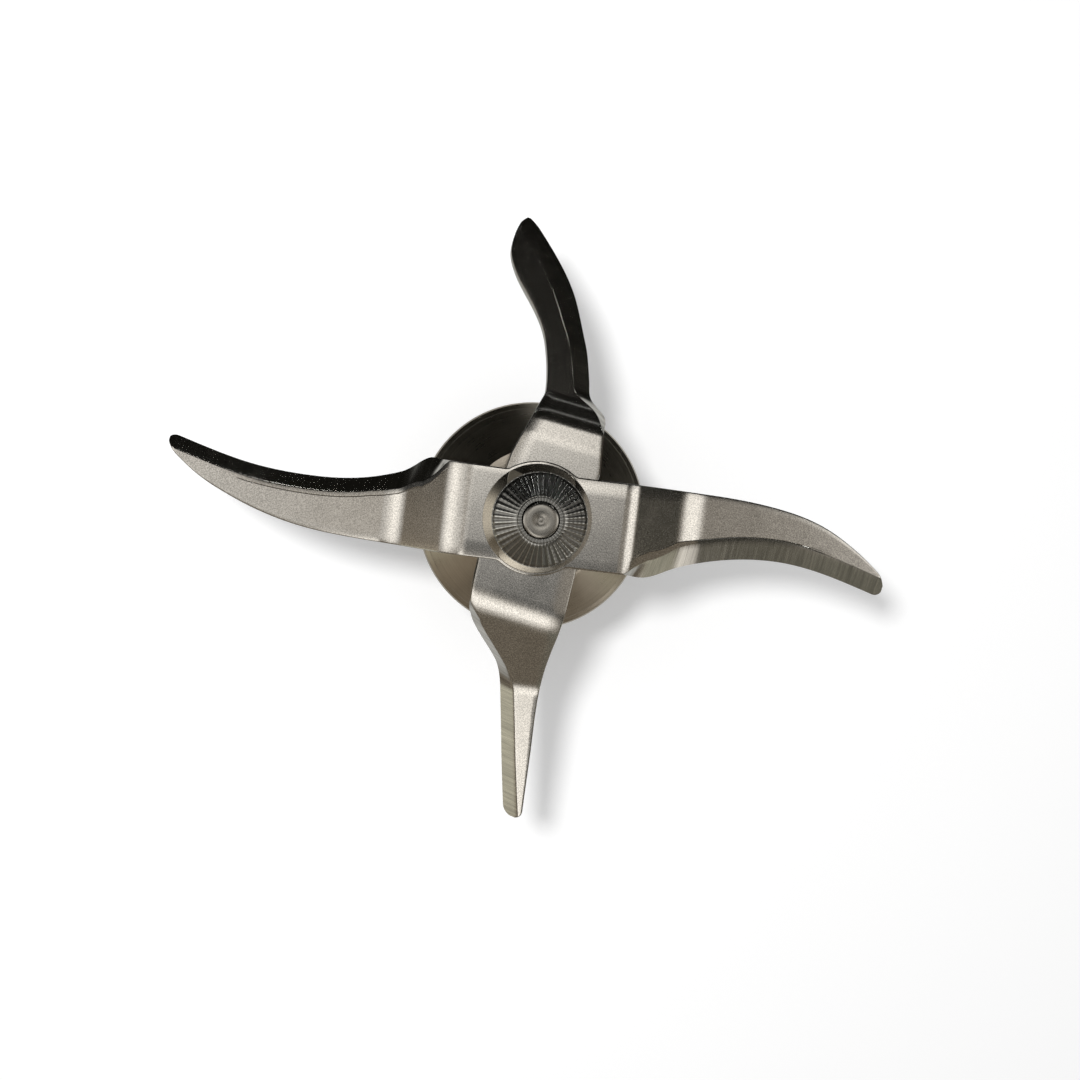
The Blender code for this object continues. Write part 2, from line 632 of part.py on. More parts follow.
def make_cage(prefix, height, carrier):
    """Make the cage: a thin ring with a round window for each ball."""
    brass = make_material(prefix + "_cage_brass", (0.62, 0.48, 0.24), 0.35)
    low, high = PITCH_RADIUS - CAGE_WALL / 2, PITCH_RADIUS + CAGE_WALL / 2
    half = CAGE_HEIGHT / 2
    profile = [(high, half), (high, -half), (low, -half), (low, half)]
    cage = turned(prefix + "_bearing_cage", profile, brass, carrier, (0, 0, height), SMALL_STEPS)
    edit = bmesh.new()
    for i in range(BALL_COUNT):
        angle = 2 * math.pi * i / BALL_COUNT
        made = bmesh.ops.create_cone(edit, cap_ends=True, segments=10,
                                     radius1=BALL_RADIUS + SEAT, radius2=BALL_RADIUS + SEAT,
                                     depth=4 * CAGE_WALL)
        out = Vector((math.cos(angle), math.sin(angle), 0))
        turn = Vector((0, 0, 1)).rotation_difference(out).to_matrix()
        bmesh.ops.rotate(edit, verts=made["verts"], matrix=turn)
        bmesh.ops.translate(edit, verts=made["verts"], vec=out * PITCH_RADIUS)
    mesh = bpy.data.meshes.new(prefix + "_windows")
    edit.to_mesh(mesh)
    edit.free()
    combine(cage, place_cutter(prefix + "_windows", mesh, (0, 0, height)))


def make_balls(prefix, height, carrier, steel):
    """Set the balls round the pitch circle."""
    mesh = bpy.data.meshes.new(prefix + "_ball")
    edit = bmesh.new()
    bmesh.ops.create_uvsphere(edit, u_segments=10, v_segments=6, radius=BALL_RADIUS)
    edit.to_mesh(mesh)
    edit.free()
    for i in range(BALL_COUNT):
        angle = 2 * math.pi * i / BALL_COUNT
        spot = (PITCH_RADIUS * math.cos(angle), PITCH_RADIUS * math.sin(angle), height)
        place("%s_ball_%d" % (prefix, i + 1), mesh, steel, carrier, spot, angle)


def make_spacers():
    """Make the two tubes that keep the bearings apart."""
    steel = make_material("spacer_steel", (0.50, 0.50, 0.50), 0.4)
    for name, inner, carrier in (
            ("inner_spacer", SHAFT_RADIUS + SEAT, rotor),
            ("outer_spacer", BEARING_OUTER_RADIUS - SPACER_WALL, housing)):
        outer = inner + SPACER_WALL
        profile = [(outer, SPACER_LENGTH), (outer, 0), (inner, 0), (inner, SPACER_LENGTH)]
        turned(name, profile, steel, carrier, (0, 0, SPACER_BOTTOM), SMALL_STEPS)


def make_seal():
    """Make the lip seal: a steel case and the rubber lip that runs on the shaft."""
    case_inner = SEAL_RADIUS - SEAL_CASE_WALL
    flange = case_inner - 1.3 * MM
    steel = make_material("seal_case_steel", (0.55, 0.55, 0.54), 0.35)
    case = [(SEAL_RADIUS, SEAL_HEIGHT), (SEAL_RADIUS, 0), (case_inner, 0),
            (case_inner, SEAL_HEIGHT - SEAL_CASE_WALL), (flange, SEAL_HEIGHT - SEAL_CASE_WALL),
            (flange, SEAL_HEIGHT)]
    turned("shaft_seal_case", case, steel, housing, (0, 0, SEAL_BOTTOM), SMALL_STEPS)
    rubber = make_material("seal_rubber", (0.05, 0.05, 0.05), 0.6, 0.0)
    outer = case_inner - SEAT
    shaft = SHAFT_RADIUS + SEAT
    ceiling = SEAL_HEIGHT - SEAL_CASE_WALL - SEAT
    web = LIP_THICKNESS
    lip = [(outer, ceiling), (outer, web / 4), (outer - web, web / 4),
           (outer - web, ceiling - web), (shaft + web, ceiling - 1.6 * web),
           (shaft, ceiling - 2.2 * web), (shaft, ceiling - 1.7 * web), (shaft + web, ceiling)]
    turned("shaft_seal_lip", lip, rubber, housing, (0, 0, SEAL_BOTTOM), SMALL_STEPS)


def make_collar():
    """Make the hub collar between the upper bearing's seal and the plates."""
    outer, inner = SEAL_RADIUS, SHAFT_RADIUS + SEAT
    edge = 0.4 * MM
    profile = [(outer, COLLAR_TOP), (outer, COLLAR_BOTTOM + edge), (outer - edge, COLLAR_BOTTOM),
               (inner, COLLAR_BOTTOM), (inner, COLLAR_TOP)]
    steel = make_material("collar_steel", (0.55, 0.54, 0.52), 0.35)
    turned("hub_collar", profile, steel, rotor, steps=SMALL_STEPS)


def make_housing():
    """Make the bearing housing: bell, sleeve, bores and bayonet lugs, turned in one piece."""
    bore = BEARING_OUTER_RADIUS + SEAT
    seal_bore = SEAL_RADIUS + SEAT
    neck = SEAL_RADIUS + RUNNING_GAP
    shelf = SEAL_RADIUS - SEAL_CASE_WALL - 0.6 * MM
    groove = MOUTH_RADIUS + MOUTH_GROOVE_DEPTH + SEAT
    lip_inner = RIM_RADIUS - RIM_LIP
    skirt_inner = RIM_RADIUS - SKIRT_WALL
    cone_top, cone_side = LAND_Z - 0.35 * MM, LAND_RADIUS + 0.45 * MM
    profile = [(neck, LAND_Z), (LAND_RADIUS, LAND_Z), (cone_side, cone_top),
               (lip_inner, RIM_Z + 0.25 * MM), (lip_inner + 0.15 * MM, RIM_Z),
               (RIM_RADIUS - 0.25 * MM, RIM_Z), (RIM_RADIUS, RIM_Z - 0.35 * MM),
               (RIM_RADIUS, SKIRT_BOTTOM + 0.3 * MM), (RIM_RADIUS - 0.3 * MM, SKIRT_BOTTOM),
               (skirt_inner, SKIRT_BOTTOM), (skirt_inner, UNDERSIDE_Z),
               (SLEEVE_RADIUS, UNDERSIDE_Z), (SLEEVE_RADIUS, FOOT_CHAMFER),
               (SLEEVE_RADIUS - FOOT_CHAMFER, 0), (MOUTH_RADIUS + FOOT_CHAMFER, 0),
               (MOUTH_RADIUS, FOOT_CHAMFER), (MOUTH_RADIUS, CLIP_BOTTOM - SEAT / 2),
               (groove, CLIP_BOTTOM - SEAT / 2), (groove, CLIP_TOP + SEAT / 2),
               (bore, CLIP_TOP + SEAT / 2), (bore, SHELF_BOTTOM), (shelf, SHELF_BOTTOM),
               (shelf, SHELF_TOP), (seal_bore, SHELF_TOP), (seal_bore, SEAL_TOP),
               (neck, SEAL_TOP + 0.3 * MM)]
    steel = make_material("housing_steel", (0.50, 0.46, 0.40), 0.32)
    body = turned("bearing_housing", profile, steel, housing)
    edit = bmesh.new()
    for i in range(LUG_COUNT):
        made = bmesh.ops.create_cube(edit, size=1)["verts"]
        out = LUG_REACH + MM
        bmesh.ops.scale(edit, verts=made, vec=(out, LUG_WIDTH, LUG_HEIGHT))
        middle = SLEEVE_RADIUS + LUG_REACH - out / 2
        bmesh.ops.translate(edit, verts=made, vec=(middle, 0, LUG_BASE + LUG_HEIGHT / 2))
        turn = 2 * math.pi * (i + 0.5) / LUG_COUNT
        for vertex in made:
            x, y = vertex.co.x, vertex.co.y
            vertex.co.x = x * math.cos(turn) - y * math.sin(turn)
            vertex.co.y = x * math.sin(turn) + y * math.cos(turn)
    mesh = bpy.data.meshes.new("bayonet_lugs")
    edit.to_mesh(mesh)
    edit.free()
    combine(body, place_cutter("bayonet_lugs", mesh), "UNION")


def make_gasket():
    """Make the sealing ring under the bell."""
    inner = SLEEVE_RADIUS + SEAT
    outer = RIM_RADIUS - SKIRT_WALL - SEAT
    top = UNDERSIDE_Z - SEAT
    bottom = top - GASKET_HEIGHT
    profile = [(outer, top), (outer, bottom + GASKET_EDGE), (outer - GASKET_EDGE, bottom),
               (inner, bottom), (inner, top)]
    rubber = make_material("gasket_rubber", (0.06, 0.06, 0.06), 0.65, 0.0)
    turned("housing_gasket", profile, rubber, housing)


def make_axis(name, height=0.0):
    """Make an empty on the spin axis."""
    axis = bpy.data.objects.new(name, None)
    axis.empty_display_size = 10 * MM
    axis.location = (0, 0, height)
    parts.objects.link(axis)
    return axis


clear_scene()
parts = make_collection("food_processor_blade")
cutters = make_collection("cutters")
housing = make_axis("housing_axis")
rotor = make_axis("rotor_axis")
upper_cage = make_axis("upper_cage_axis")
lower_cage = make_axis("lower_cage_axis")
make_housing()
make_gasket()
make_seal()
make_spacers()
make_bearing("upper", UPPER_BEARING, upper_cage)
make_bearing("lower", LOWER_BEARING, lower_cage)
make_clips()
make_collar()
make_blades(flats_cutter())
make_cap()
make_coupling(make_shaft())
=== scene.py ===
import math

import bmesh
import bpy
from mathutils import Matrix, Vector


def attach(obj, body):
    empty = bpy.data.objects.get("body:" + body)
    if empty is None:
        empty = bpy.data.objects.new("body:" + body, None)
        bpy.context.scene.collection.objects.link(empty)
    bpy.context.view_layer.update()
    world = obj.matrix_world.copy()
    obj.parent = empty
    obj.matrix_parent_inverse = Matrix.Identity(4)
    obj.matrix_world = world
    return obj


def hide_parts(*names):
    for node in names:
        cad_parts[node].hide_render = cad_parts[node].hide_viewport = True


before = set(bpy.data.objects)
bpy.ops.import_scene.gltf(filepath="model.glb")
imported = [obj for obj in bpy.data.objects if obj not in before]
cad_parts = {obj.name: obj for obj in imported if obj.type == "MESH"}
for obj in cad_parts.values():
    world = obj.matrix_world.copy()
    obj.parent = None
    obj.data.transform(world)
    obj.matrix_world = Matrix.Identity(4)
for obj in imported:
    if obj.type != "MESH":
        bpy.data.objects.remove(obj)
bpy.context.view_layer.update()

MM = 0.001
BLANK_SCALE = 10.0

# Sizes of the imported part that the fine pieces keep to
SEAT = 0.3 * MM
RUNNING_GAP = 0.6 * MM
PLATE_THICKNESS = 1.8 * MM
EYE_RADIUS = 10.1 * MM
EDGE_LAND = 0.15 * MM
EDGE_BREAK = 0.25 * MM
TIP_ROUND = 1.5 * MM
SHORT_PLATE_TURN = 83.0
SHAFT_RADIUS = 4.0 * MM
SHAFT_TOP_RADIUS = 3.1 * MM
FLAT_HALF = 3.0 * MM
BEARING_OUTER_RADIUS = 11.0 * MM
SLEEVE_RADIUS = 15.0 * MM
RIM_RADIUS = 20.9 * MM
LAND_RADIUS = 12.3 * MM
MOUTH_RADIUS = 11.9 * MM
SEAL_RADIUS = 8.0 * MM
COUPLING_BOTTOM = 1.0 * MM
COUPLING_TOP = 9.0 * MM
COUPLING_RADIUS = 5.7 * MM
COUPLING_LOBE = 0.8 * MM
COUPLING_FLOOR = COUPLING_BOTTOM + 1.8 * MM
SHAFT_NECK_RADIUS = 3.0 * MM
GROOVE_BOTTOM = 9.6 * MM - SEAT / 2
GROOVE_TOP = 10.7 * MM + SEAT / 2
SHELF_BOTTOM = 30.9 * MM
SHELF_TOP = 31.6 * MM
SEAL_TOP = 35.7 * MM
COLLAR_BOTTOM = 36.3 * MM
COLLAR_TOP = 39.5 * MM
LOWER_PLATE = 39.8 * MM
UPPER_PLATE = 41.9 * MM
PLATES_TOP = 43.7 * MM
CAP_BASE = 44.0 * MM
SHAFT_END = 52.7 * MM
LAND_Z = 38.1 * MM
RIM_Z = 31.3 * MM
SKIRT_BOTTOM = 28.0 * MM
UNDERSIDE_Z = 28.9 * MM
SKIRT_WALL = 1.1 * MM
LUG_COUNT = 3
LUG_BOTTOM = 18.0 * MM
LUG_TOP = 21.0 * MM
LUG_HALF_WIDTH = 4.5 * MM
LUG_REACH = 2.2 * MM
CAP_BASE_RADIUS = 9.6 * MM
CAP_BORE_RADIUS = 3.5 * MM

# The cap's finer forms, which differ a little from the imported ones
CAP_HUB = PLATES_TOP + 8.7 * MM
CAP_CREST = PLATES_TOP + 6.75 * MM
CAP_CREST_RADIUS = 8.22 * MM
CAP_LIP_RADIUS = 3.26 * MM
CONE_RADIUS = 4.1 * MM
CONE_SLOPE = 0.5
RIB_COUNT = 44
RIB_HEIGHT = 0.08 * MM
RIB_BED = 0.12 * MM
RIB_INNER_RADIUS = 4.15 * MM
RIB_OUTER_RADIUS = 8.02 * MM
BEAD_PITCH = 0.75 * MM

# The arms as flat blanks. A knot's place is a share of the reach; an edge's knots go on with its
# side and slope, the others with one value. A fold is its start, skew, angle and radius.
LEFT_ARM = {
    "reach": 68.4 * MM,
    "root_half": 8.0 * MM,
    "lead": [(0.275, 8.3 * MM, 0.0), (0.30, 8.5 * MM, 0.0), (0.39, 5.3 * MM, -0.4),
             (0.61, 2.65 * MM, 0.0), (0.77, 3.4 * MM, 0.15), (1.0, 7.3 * MM, 0.27)],
    "back": [(0.25, -8.0 * MM, 0.02), (0.50, -7.5 * MM, 0.06), (0.655, -6.3 * MM, 0.2),
             (0.82, -2.8 * MM, 0.43), (0.94, 1.6 * MM, 0.75), (1.0, 5.0 * MM, 0.95)],
    "bevel": [(0.238, 0.2 * MM), (0.25, 0.9 * MM), (0.262, 1.8 * MM), (0.287, 3.5 * MM),
              (0.31, 4.5 * MM), (0.34, 3.9 * MM), (0.40, 3.0 * MM), (0.46, 2.5 * MM),
              (1.0, 2.4 * MM)],
    "folds": [(11.8 * MM, 0.0, -34.0, 8.0 * MM), (24.0 * MM, 0.0, 30.0, 10.0 * MM)],
    "crease": [(0.225, 0.0), (0.27, 1.0), (0.75, 1.0), (0.86, 0.0)],
    "crease_offset": [(0.25, 1.2 * MM), (0.30, 1.0 * MM), (0.8, 0.8 * MM)],
    "crease_fall": 0.07 * MM,
}
RIGHT_ARM = {
    "reach": 67.8 * MM,
    "root_half": 8.0 * MM,
    "lead": [(0.24, 8.1 * MM, 0.0), (0.305, 8.4 * MM, 0.0), (0.42, 6.1 * MM, -0.36),
             (0.68, 2.9 * MM, 0.0), (0.87, 4.8 * MM, 0.26), (1.0, 7.3 * MM, 0.29)],
    "back": [(0.25, -8.0 * MM, 0.0), (0.49, -7.8 * MM, 0.02), (0.705, -6.5 * MM, 0.18),
             (0.835, -3.75 * MM, 0.48), (0.93, 0.1 * MM, 0.7), (1.0, 3.9 * MM, 0.9)],
    "bevel": [(0.24, 0.25 * MM), (0.265, 1.6 * MM), (0.31, 3.3 * MM), (0.40, 4.2 * MM),
              (0.50, 3.7 * MM), (1.0, 3.3 * MM)],
    "folds": [(15.0 * MM, 0.0, -29.0, 5.0 * MM), (26.2 * MM, 0.0, 25.0, 15.0 * MM)],
    "crease": [(0.25, 0.0), (0.28, 1.0), (0.72, 1.0), (0.86, 0.0)],
    "crease_offset": [(0.25, 2.0 * MM), (0.30, 1.7 * MM), (0.45, 0.7 * MM), (0.8, 0.45 * MM)],
    "crease_fall": 0.16 * MM,
}
TOP_ARM = {
    "reach": 53.8 * MM,
    "root_half": 8.1 * MM,
    "lead": [(0.19, 9.2 * MM, -0.12), (0.335, 8.1 * MM, -0.1), (0.40, 7.9 * MM, -0.6),
             (0.44, 5.0 * MM, -0.9), (0.498, 3.85 * MM, -0.3), (0.625, 1.55 * MM, -0.47),
             (0.755, -1.7 * MM, -0.52), (0.845, -4.9 * MM, -0.80), (1.0, -12.8 * MM, -1.05)],
    "back": [(0.19, -7.0 * MM, 0.28), (0.405, -3.7 * MM, 0.28), (0.435, -3.6 * MM, -0.12),
             (0.54, -4.8 * MM, -0.3), (0.645, -7.25 * MM, -0.66), (0.70, -9.5 * MM, -0.85),
             (0.79, -13.5 * MM, -0.66), (0.87, -15.45 * MM, -0.12), (1.0, -14.4 * MM, 0.35)],
    "bevel": [(0.325, 0.25 * MM), (0.40, 2.6 * MM), (0.445, 3.1 * MM), (0.61, 3.6 * MM),
              (0.84, 5.0 * MM), (1.0, 5.2 * MM)],
    "folds": [(13.0 * MM, 2.0, -5.0, 20.0 * MM), (16.8 * MM, 2.0, -28.0, 5.0 * MM),
              (20.8 * MM, 2.0, 22.0, 6.0 * MM)],
    "crease": [(0.0, 0.0)],
    "crease_offset": [(0.0, 0.7 * MM)],
    "crease_fall": 0.0,
}
BOTTOM_ARM = {
    "reach": 56.1 * MM,
    "root_half": 8.6 * MM,
    "lead": [(0.19, 8.3 * MM, 0.0), (0.315, 7.8 * MM, -0.2), (0.365, 6.8 * MM, -0.55),
             (0.415, 4.7 * MM, -0.88), (0.495, 0.8 * MM, -0.7), (0.555, -0.8 * MM, -0.38),
             (0.61, -1.8 * MM, -0.29), (1.0, -8.25 * MM, -0.31)],
    "back": [(0.15, -9.2 * MM, 0.0), (0.305, -9.1 * MM, 0.05), (0.48, -8.5 * MM, 0.02),
             (0.595, -8.7 * MM, -0.08), (0.83, -10.5 * MM, -0.12), (1.0, -11.7 * MM, -0.12)],
    "bevel": [(0.305, 0.25 * MM), (0.355, 2.0 * MM), (0.42, 2.2 * MM), (0.49, 1.9 * MM),
              (0.59, 2.5 * MM), (1.0, 2.8 * MM)],
    "folds": [(14.0 * MM, 4.0, -27.0, 12.5 * MM), (30.7 * MM, -7.0, 22.0, 9.0 * MM)],
    "crease": [(0.0, 0.0)],
    "crease_offset": [(0.0, 0.6 * MM)],
    "crease_fall": 0.0,
}


# Node trees

class Signal:
    """A socket that takes part in plain arithmetic."""

    def __init__(self, tree, socket):
        self.tree = tree
        self.socket = socket

    def work(self, operation, *values):
        """Add a Math node for one operation."""
        node = self.tree.nodes.new("ShaderNodeMath")
        node.operation = operation
        for slot, value in zip(node.inputs, values):
            join(self.tree, value, slot)
        return Signal(self.tree, node.outputs[0])

    def __add__(self, other):
        return self.work("ADD", self, other)

    def __radd__(self, other):
        return self.work("ADD", other, self)

    def __sub__(self, other):
        return self.work("SUBTRACT", self, other)

    def __rsub__(self, other):
        return self.work("SUBTRACT", other, self)

    def __mul__(self, other):
        return self.work("MULTIPLY", self, other)

    def __rmul__(self, other):
        return self.work("MULTIPLY", other, self)

    def __truediv__(self, other):
        return self.work("DIVIDE", self, other)

    def __rtruediv__(self, other):
        return self.work("DIVIDE", other, self)

    def __pow__(self, other):
        return self.work("POWER", self, other)

    def __abs__(self):
        return self.work("ABSOLUTE", self)

    def most(self, other):
        """The larger of two values."""
        return self.work("MAXIMUM", self, other)

    def ramp(self, low, high, start=0.0, end=1.0):
        """Rise smoothly from start to end while the value goes from low to high."""
        node = self.tree.nodes.new("ShaderNodeMapRange")
        node.interpolation_type = "SMOOTHSTEP"
        for slot, value in zip(node.inputs, (self, low, high, start, end)):
            join(self.tree, value, slot)
        return Signal(self.tree, node.outputs[0])


def join(tree, value, slot):
    """Link a signal to a socket, or write a plain value into it."""
    if isinstance(value, Signal):
        tree.links.new(value.socket, slot)
    else:
        slot.default_value = value


class Wiring:
    """A node tree written as plain calls."""

    def __init__(self, tree):
        self.tree = tree

    def node(self, kind, settings=None, values=None, output=0):
        """Add a node: its settings first, then the values or links of its sockets."""
        node = self.tree.nodes.new(kind)
        for name, setting in (settings or {}).items():
            setattr(node, name, setting)
        for name, value in (values or {}).items():
            join(self.tree, value, node.inputs[name])
        return Signal(self.tree, node.outputs[output])

    def mix(self, factor, first, second):
        """Blend two colours."""
        return self.node("ShaderNodeMix", {"data_type": "RGBA"},
                         {0: factor, 6: first, 7: second}, 2)

    def split(self, vector):
        """Give a vector's three parts."""
        node = self.tree.nodes.new("ShaderNodeSeparateXYZ")
        join(self.tree, vector, node.inputs[0])
        return [Signal(self.tree, output) for output in node.outputs]

    def vector(self, x, y, z=0.0):
        """Make a vector from three values."""
        return self.node("ShaderNodeCombineXYZ", None, {0: x, 1: y, 2: z})

    def noise(self, vector, scale=1.0, detail=2.0, roughness=0.5):
        """Smooth random values over a vector, from about 0.3 to 0.7."""
        return self.node("ShaderNodeTexNoise", {"noise_dimensions": "3D"},
                         {"Vector": vector, "Scale": scale, "Detail": detail,
                          "Roughness": roughness})


class Finish(Wiring):
    """A material with one Principled shader."""

    def __init__(self, name, metallic=1.0):
        self.material = bpy.data.materials.new(name)
        self.material.use_nodes = True
        super().__init__(self.material.node_tree)
        self.shader = self.tree.nodes["Principled BSDF"]
        self.shader.inputs["Metallic"].default_value = metallic

    def place(self):
        """Object coordinates, in metres."""
        return self.node("ShaderNodeTexCoord", output="Object")

    def blank(self):
        """Coordinates on the flat blank, in metres: along the arm and across it."""
        flat = self.node("ShaderNodeUVMap", {"uv_map": "blank"})
        along, across, _ = self.split(flat)
        return along * (1 / BLANK_SCALE), across * (1 / BLANK_SCALE)

    def feed(self, colour=None, roughness=None, height=None, depth=0.00001):
        """Link what changes over the surface."""
        if colour is not None:
            join(self.tree, colour, self.shader.inputs["Base Color"])
        if roughness is not None:
            join(self.tree, roughness, self.shader.inputs["Roughness"])
        if height is not None:
            bump = self.node("ShaderNodeBump", None,
                             {"Strength": 1.0, "Distance": depth, "Height": height})
            join(self.tree, bump, self.shader.inputs["Normal"])
        return self.material


def shade(colour, share):
    """A colour made lighter or darker."""
    return (colour[0] * share, colour[1] * share, colour[2] * share, 1.0)


# Finishes

def satin_steel(name, colour, roughness):
    """Tumbled sheet steel: a fine matt grain with faint clouds."""
    f = Finish(name)
    spot = f.place()
    grain = f.noise(spot, 4300.0, 1.0, 0.7)
    clouds = f.noise(spot, 260.0, 2.0)
    tone = f.mix((grain - 0.5) * 2.8 + (clouds - 0.5) * 0.5 + 0.5, shade(colour, 0.75),
                 shade(colour, 1.23))
    rough = roughness + (grain - 0.5) * 0.05 + (clouds - 0.5) * 0.05
    return f.feed(tone, rough, grain, 0.000003)


def ground_steel(name, colour, roughness):
    """A ground bevel: close striations across the edge."""
    f = Finish(name)
    along, across = f.blank()
    fine = f.noise(f.vector(along * 5200, across * 160), 1.0, 3.0, 0.7)
    broad = f.noise(f.vector(along * 1500, across * 90), 1.0, 1.0)
    lines = fine * 0.6 + broad * 0.4
    tone = f.mix((lines - 0.5) * 3.0 + 0.5, shade(colour, 0.66), shade(colour, 1.2))
    return f.feed(tone, roughness + (lines - 0.5) * 0.1, lines, 0.000006)


def sheared_steel(name, colour, roughness):
    """A punched side wall: upright drag marks."""
    f = Finish(name)
    along, across = f.blank()
    _, _, z = f.split(f.place())
    drag = f.noise(f.vector(along * 3500, across * 200, z * 300), 1.0, 3.0, 0.7)
    tone = f.mix((drag - 0.5) * 2.4 + 0.5, shade(colour, 0.7), shade(colour, 1.15))
    return f.feed(tone, roughness + (drag - 0.5) * 0.3, drag, 0.000012)


def turned_steel(name, colour, roughness, pitch=0.25 * MM, depth=0.000006, stain=0.0):
    """Lathe-turned steel: fine rings round the axis and faint clouds."""
    f = Finish(name)
    spot = f.place()
    x, y, z = f.split(spot)
    radius = (x * x + y * y) ** 0.5
    rings = f.noise(f.vector(radius / pitch, z / pitch), 1.0, 2.0, 0.7)
    clouds = f.noise(spot, 230.0, 3.0, 0.6)
    grain = f.noise(spot, 5200.0, 1.0)
    tone = f.mix((rings - 0.5) * 1.2 + (clouds - 0.5) * (0.8 + stain) + 0.5,
                 shade(colour, 0.84), shade(colour, 1.12))
    rough = roughness + (rings - 0.5) * 0.12 + (clouds - 0.5) * 0.12
    return f.feed(tone, rough, rings * 0.7 + grain * 0.3, depth)


def polished_steel(name, colour, roughness):
    """Bright formed steel: almost a mirror, with light handling marks."""
    f = Finish(name)
    spot = f.place()
    haze = f.noise(spot, 420.0, 3.0, 0.6)
    specks = f.noise(spot, 3000.0, 2.0)
    tone = f.mix((haze - 0.5) * 1.4 + 0.5, shade(colour, 0.9), shade(colour, 1.08))
    rough = roughness + (haze - 0.5) * 0.08 + (specks - 0.5) * 0.04
    return f.feed(tone, rough, specks, 0.0000006)


def ribbed_steel(name, colour, wall_colour, roughness, ribs):
    """The cap's steel: beaded by a lathe's rings across its ribs, with painted highlight lines on
    the rib crests over darker flanks, and a duller drawn wall.
    """
    f = Finish(name)
    spot = f.place()
    x, y, z = f.split(spot)
    radius = (x * x + y * y) ** 0.5
    rings = f.node("ShaderNodeMath", {"operation": "SINE"},
                   {0: radius * (2 * math.pi / BEAD_PITCH)})
    haze = f.noise(spot, 420.0, 3.0, 0.6)
    specks = f.noise(spot, 2600.0, 3.0)
    wall = radius.ramp(CAP_CREST_RADIUS, CAP_CREST_RADIUS + 0.15 * MM)
    turn = f.node("ShaderNodeMath", {"operation": "ARCTAN2"}, {0: y, 1: x})
    # Painted highlight: the rib crests get a much lighter base colour than the flanks and stand in
    # for thin glints along the ribs. The crests are also a little smoother, as from wear.
    crest_polish_and_painted_highlight = f.node("ShaderNodeMath", {"operation": "SINE"}, {0: turn * ribs}).ramp(0.55, 0.95)
    bright = f.mix(crest_polish_and_painted_highlight, shade(colour, 0.58), shade(colour, 1.6))
    foot = (z - CAP_BASE).ramp(0.25 * MM, 0.42 * MM, 1.0, 0.0)
    fresh = f.mix((haze - 0.5) * 1.4 + 0.3 + (specks - 0.5) * 0.8, bright, shade(colour, 0.8))
    drawn = f.mix((haze - 0.5) * 1.2 + 0.5, shade(wall_colour, 0.9), shade(wall_colour, 1.1))
    tone = f.mix(wall * (1 - foot), fresh, drawn)
    rough = roughness - wall * 0.22 - crest_polish_and_painted_highlight * 0.10 + (haze - 0.5) * 0.06
    return f.feed(tone, rough, rings * 0.5 * (1 - wall) + specks * 0.25, 0.000007)


def rolled_brass(name):
    """Stamped brass of a bearing's cage."""
    f = Finish(name)
    spot = f.place()
    grain = f.noise(spot, 2600.0, 3.0)
    tone = f.mix(grain.ramp(0.35, 0.65), (0.50, 0.36, 0.15, 1), (0.66, 0.50, 0.24, 1))
    return f.feed(tone, 0.32 + (grain - 0.5) * 0.2, grain, 0.000006)


def moulded_rubber(name):
    """Black rubber with a soft, slightly dusty skin."""
    f = Finish(name, metallic=0.0)
    spot = f.place()
    grain = f.noise(spot, 3200.0, 3.0)
    dust = f.noise(spot, 300.0, 3.0)
    tone = f.mix(dust.ramp(0.4, 0.7), (0.022, 0.022, 0.022, 1), (0.05, 0.049, 0.047, 1))
    return f.feed(tone, 0.62 + (grain - 0.5) * 0.3, grain, 0.00002)


# Meshes

def finish_mesh(mesh, materials, sharp=32.0):
    """Weld a mesh, point its faces outwards and shade it smooth up to an angle."""
    edit = bmesh.new()
    edit.from_mesh(mesh)
    bmesh.ops.remove_doubles(edit, verts=edit.verts, dist=0.0000005)
    bmesh.ops.dissolve_degenerate(edit, edges=edit.edges, dist=0.0000002)
    bmesh.ops.recalc_face_normals(edit, faces=edit.faces)
    edit.to_mesh(mesh)
    edit.free()
    if not mesh.materials:
        for material in materials:
            mesh.materials.append(material)
    mesh.shade_smooth()
    mesh.set_sharp_from_angle(angle=math.radians(sharp))
    return mesh


def show(name, data):
    """Put a mesh, a lamp or a camera into the scene."""
    obj = bpy.data.objects.new(name, data)
    bpy.context.scene.collection.objects.link(obj)
    return obj


def applied(obj, name):
    """Turn an object with modifiers into a plain mesh and remove it."""
    graph = bpy.context.evaluated_depsgraph_get()
    mesh = bpy.data.meshes.new_from_object(obj.evaluated_get(graph))
    mesh.name = name
    bpy.data.objects.remove(obj, do_unlink=True)
    return mesh


def combined(name, mesh, tools, operation="DIFFERENCE"):
    """Cut or join a mesh with closed tools."""
    obj = show(name, mesh)
    helpers = [show(name + "_tool", tool) for tool in tools]
    for helper in helpers:
        modifier = obj.modifiers.new("cut", "BOOLEAN")
        modifier.object = helper
        modifier.operation = operation
        modifier.solver = "EXACT"
    result = applied(obj, name)
    for helper in helpers:
        bpy.data.objects.remove(helper, do_unlink=True)
    return result


def rounded(corners, radii, steps=5):
    """Round the corners of a profile; a radius of 0 keeps one sharp."""
    points = []
    count = len(corners)
    for i, ((x, z), radius) in enumerate(zip(corners, radii)):
        here = Vector((x, z))
        before = Vector(corners[i - 1]) - here
        after = Vector(corners[(i + 1) % count]) - here
        if radius <= 0 or before.length < 1e-7 or after.length < 1e-7:
            points.append((x, z))
            continue
        half = before.angle(after) / 2
        reach = min(radius / math.tan(half), before.length * 0.45, after.length * 0.45)
        start = here + before.normalized() * reach
        end = here + after.normalized() * reach
        for step in range(steps + 1):
            t = step / steps
            point = start * (1 - t) ** 2 + here * 2 * t * (1 - t) + end * t**2
            points.append((point.x, point.y))
    return points


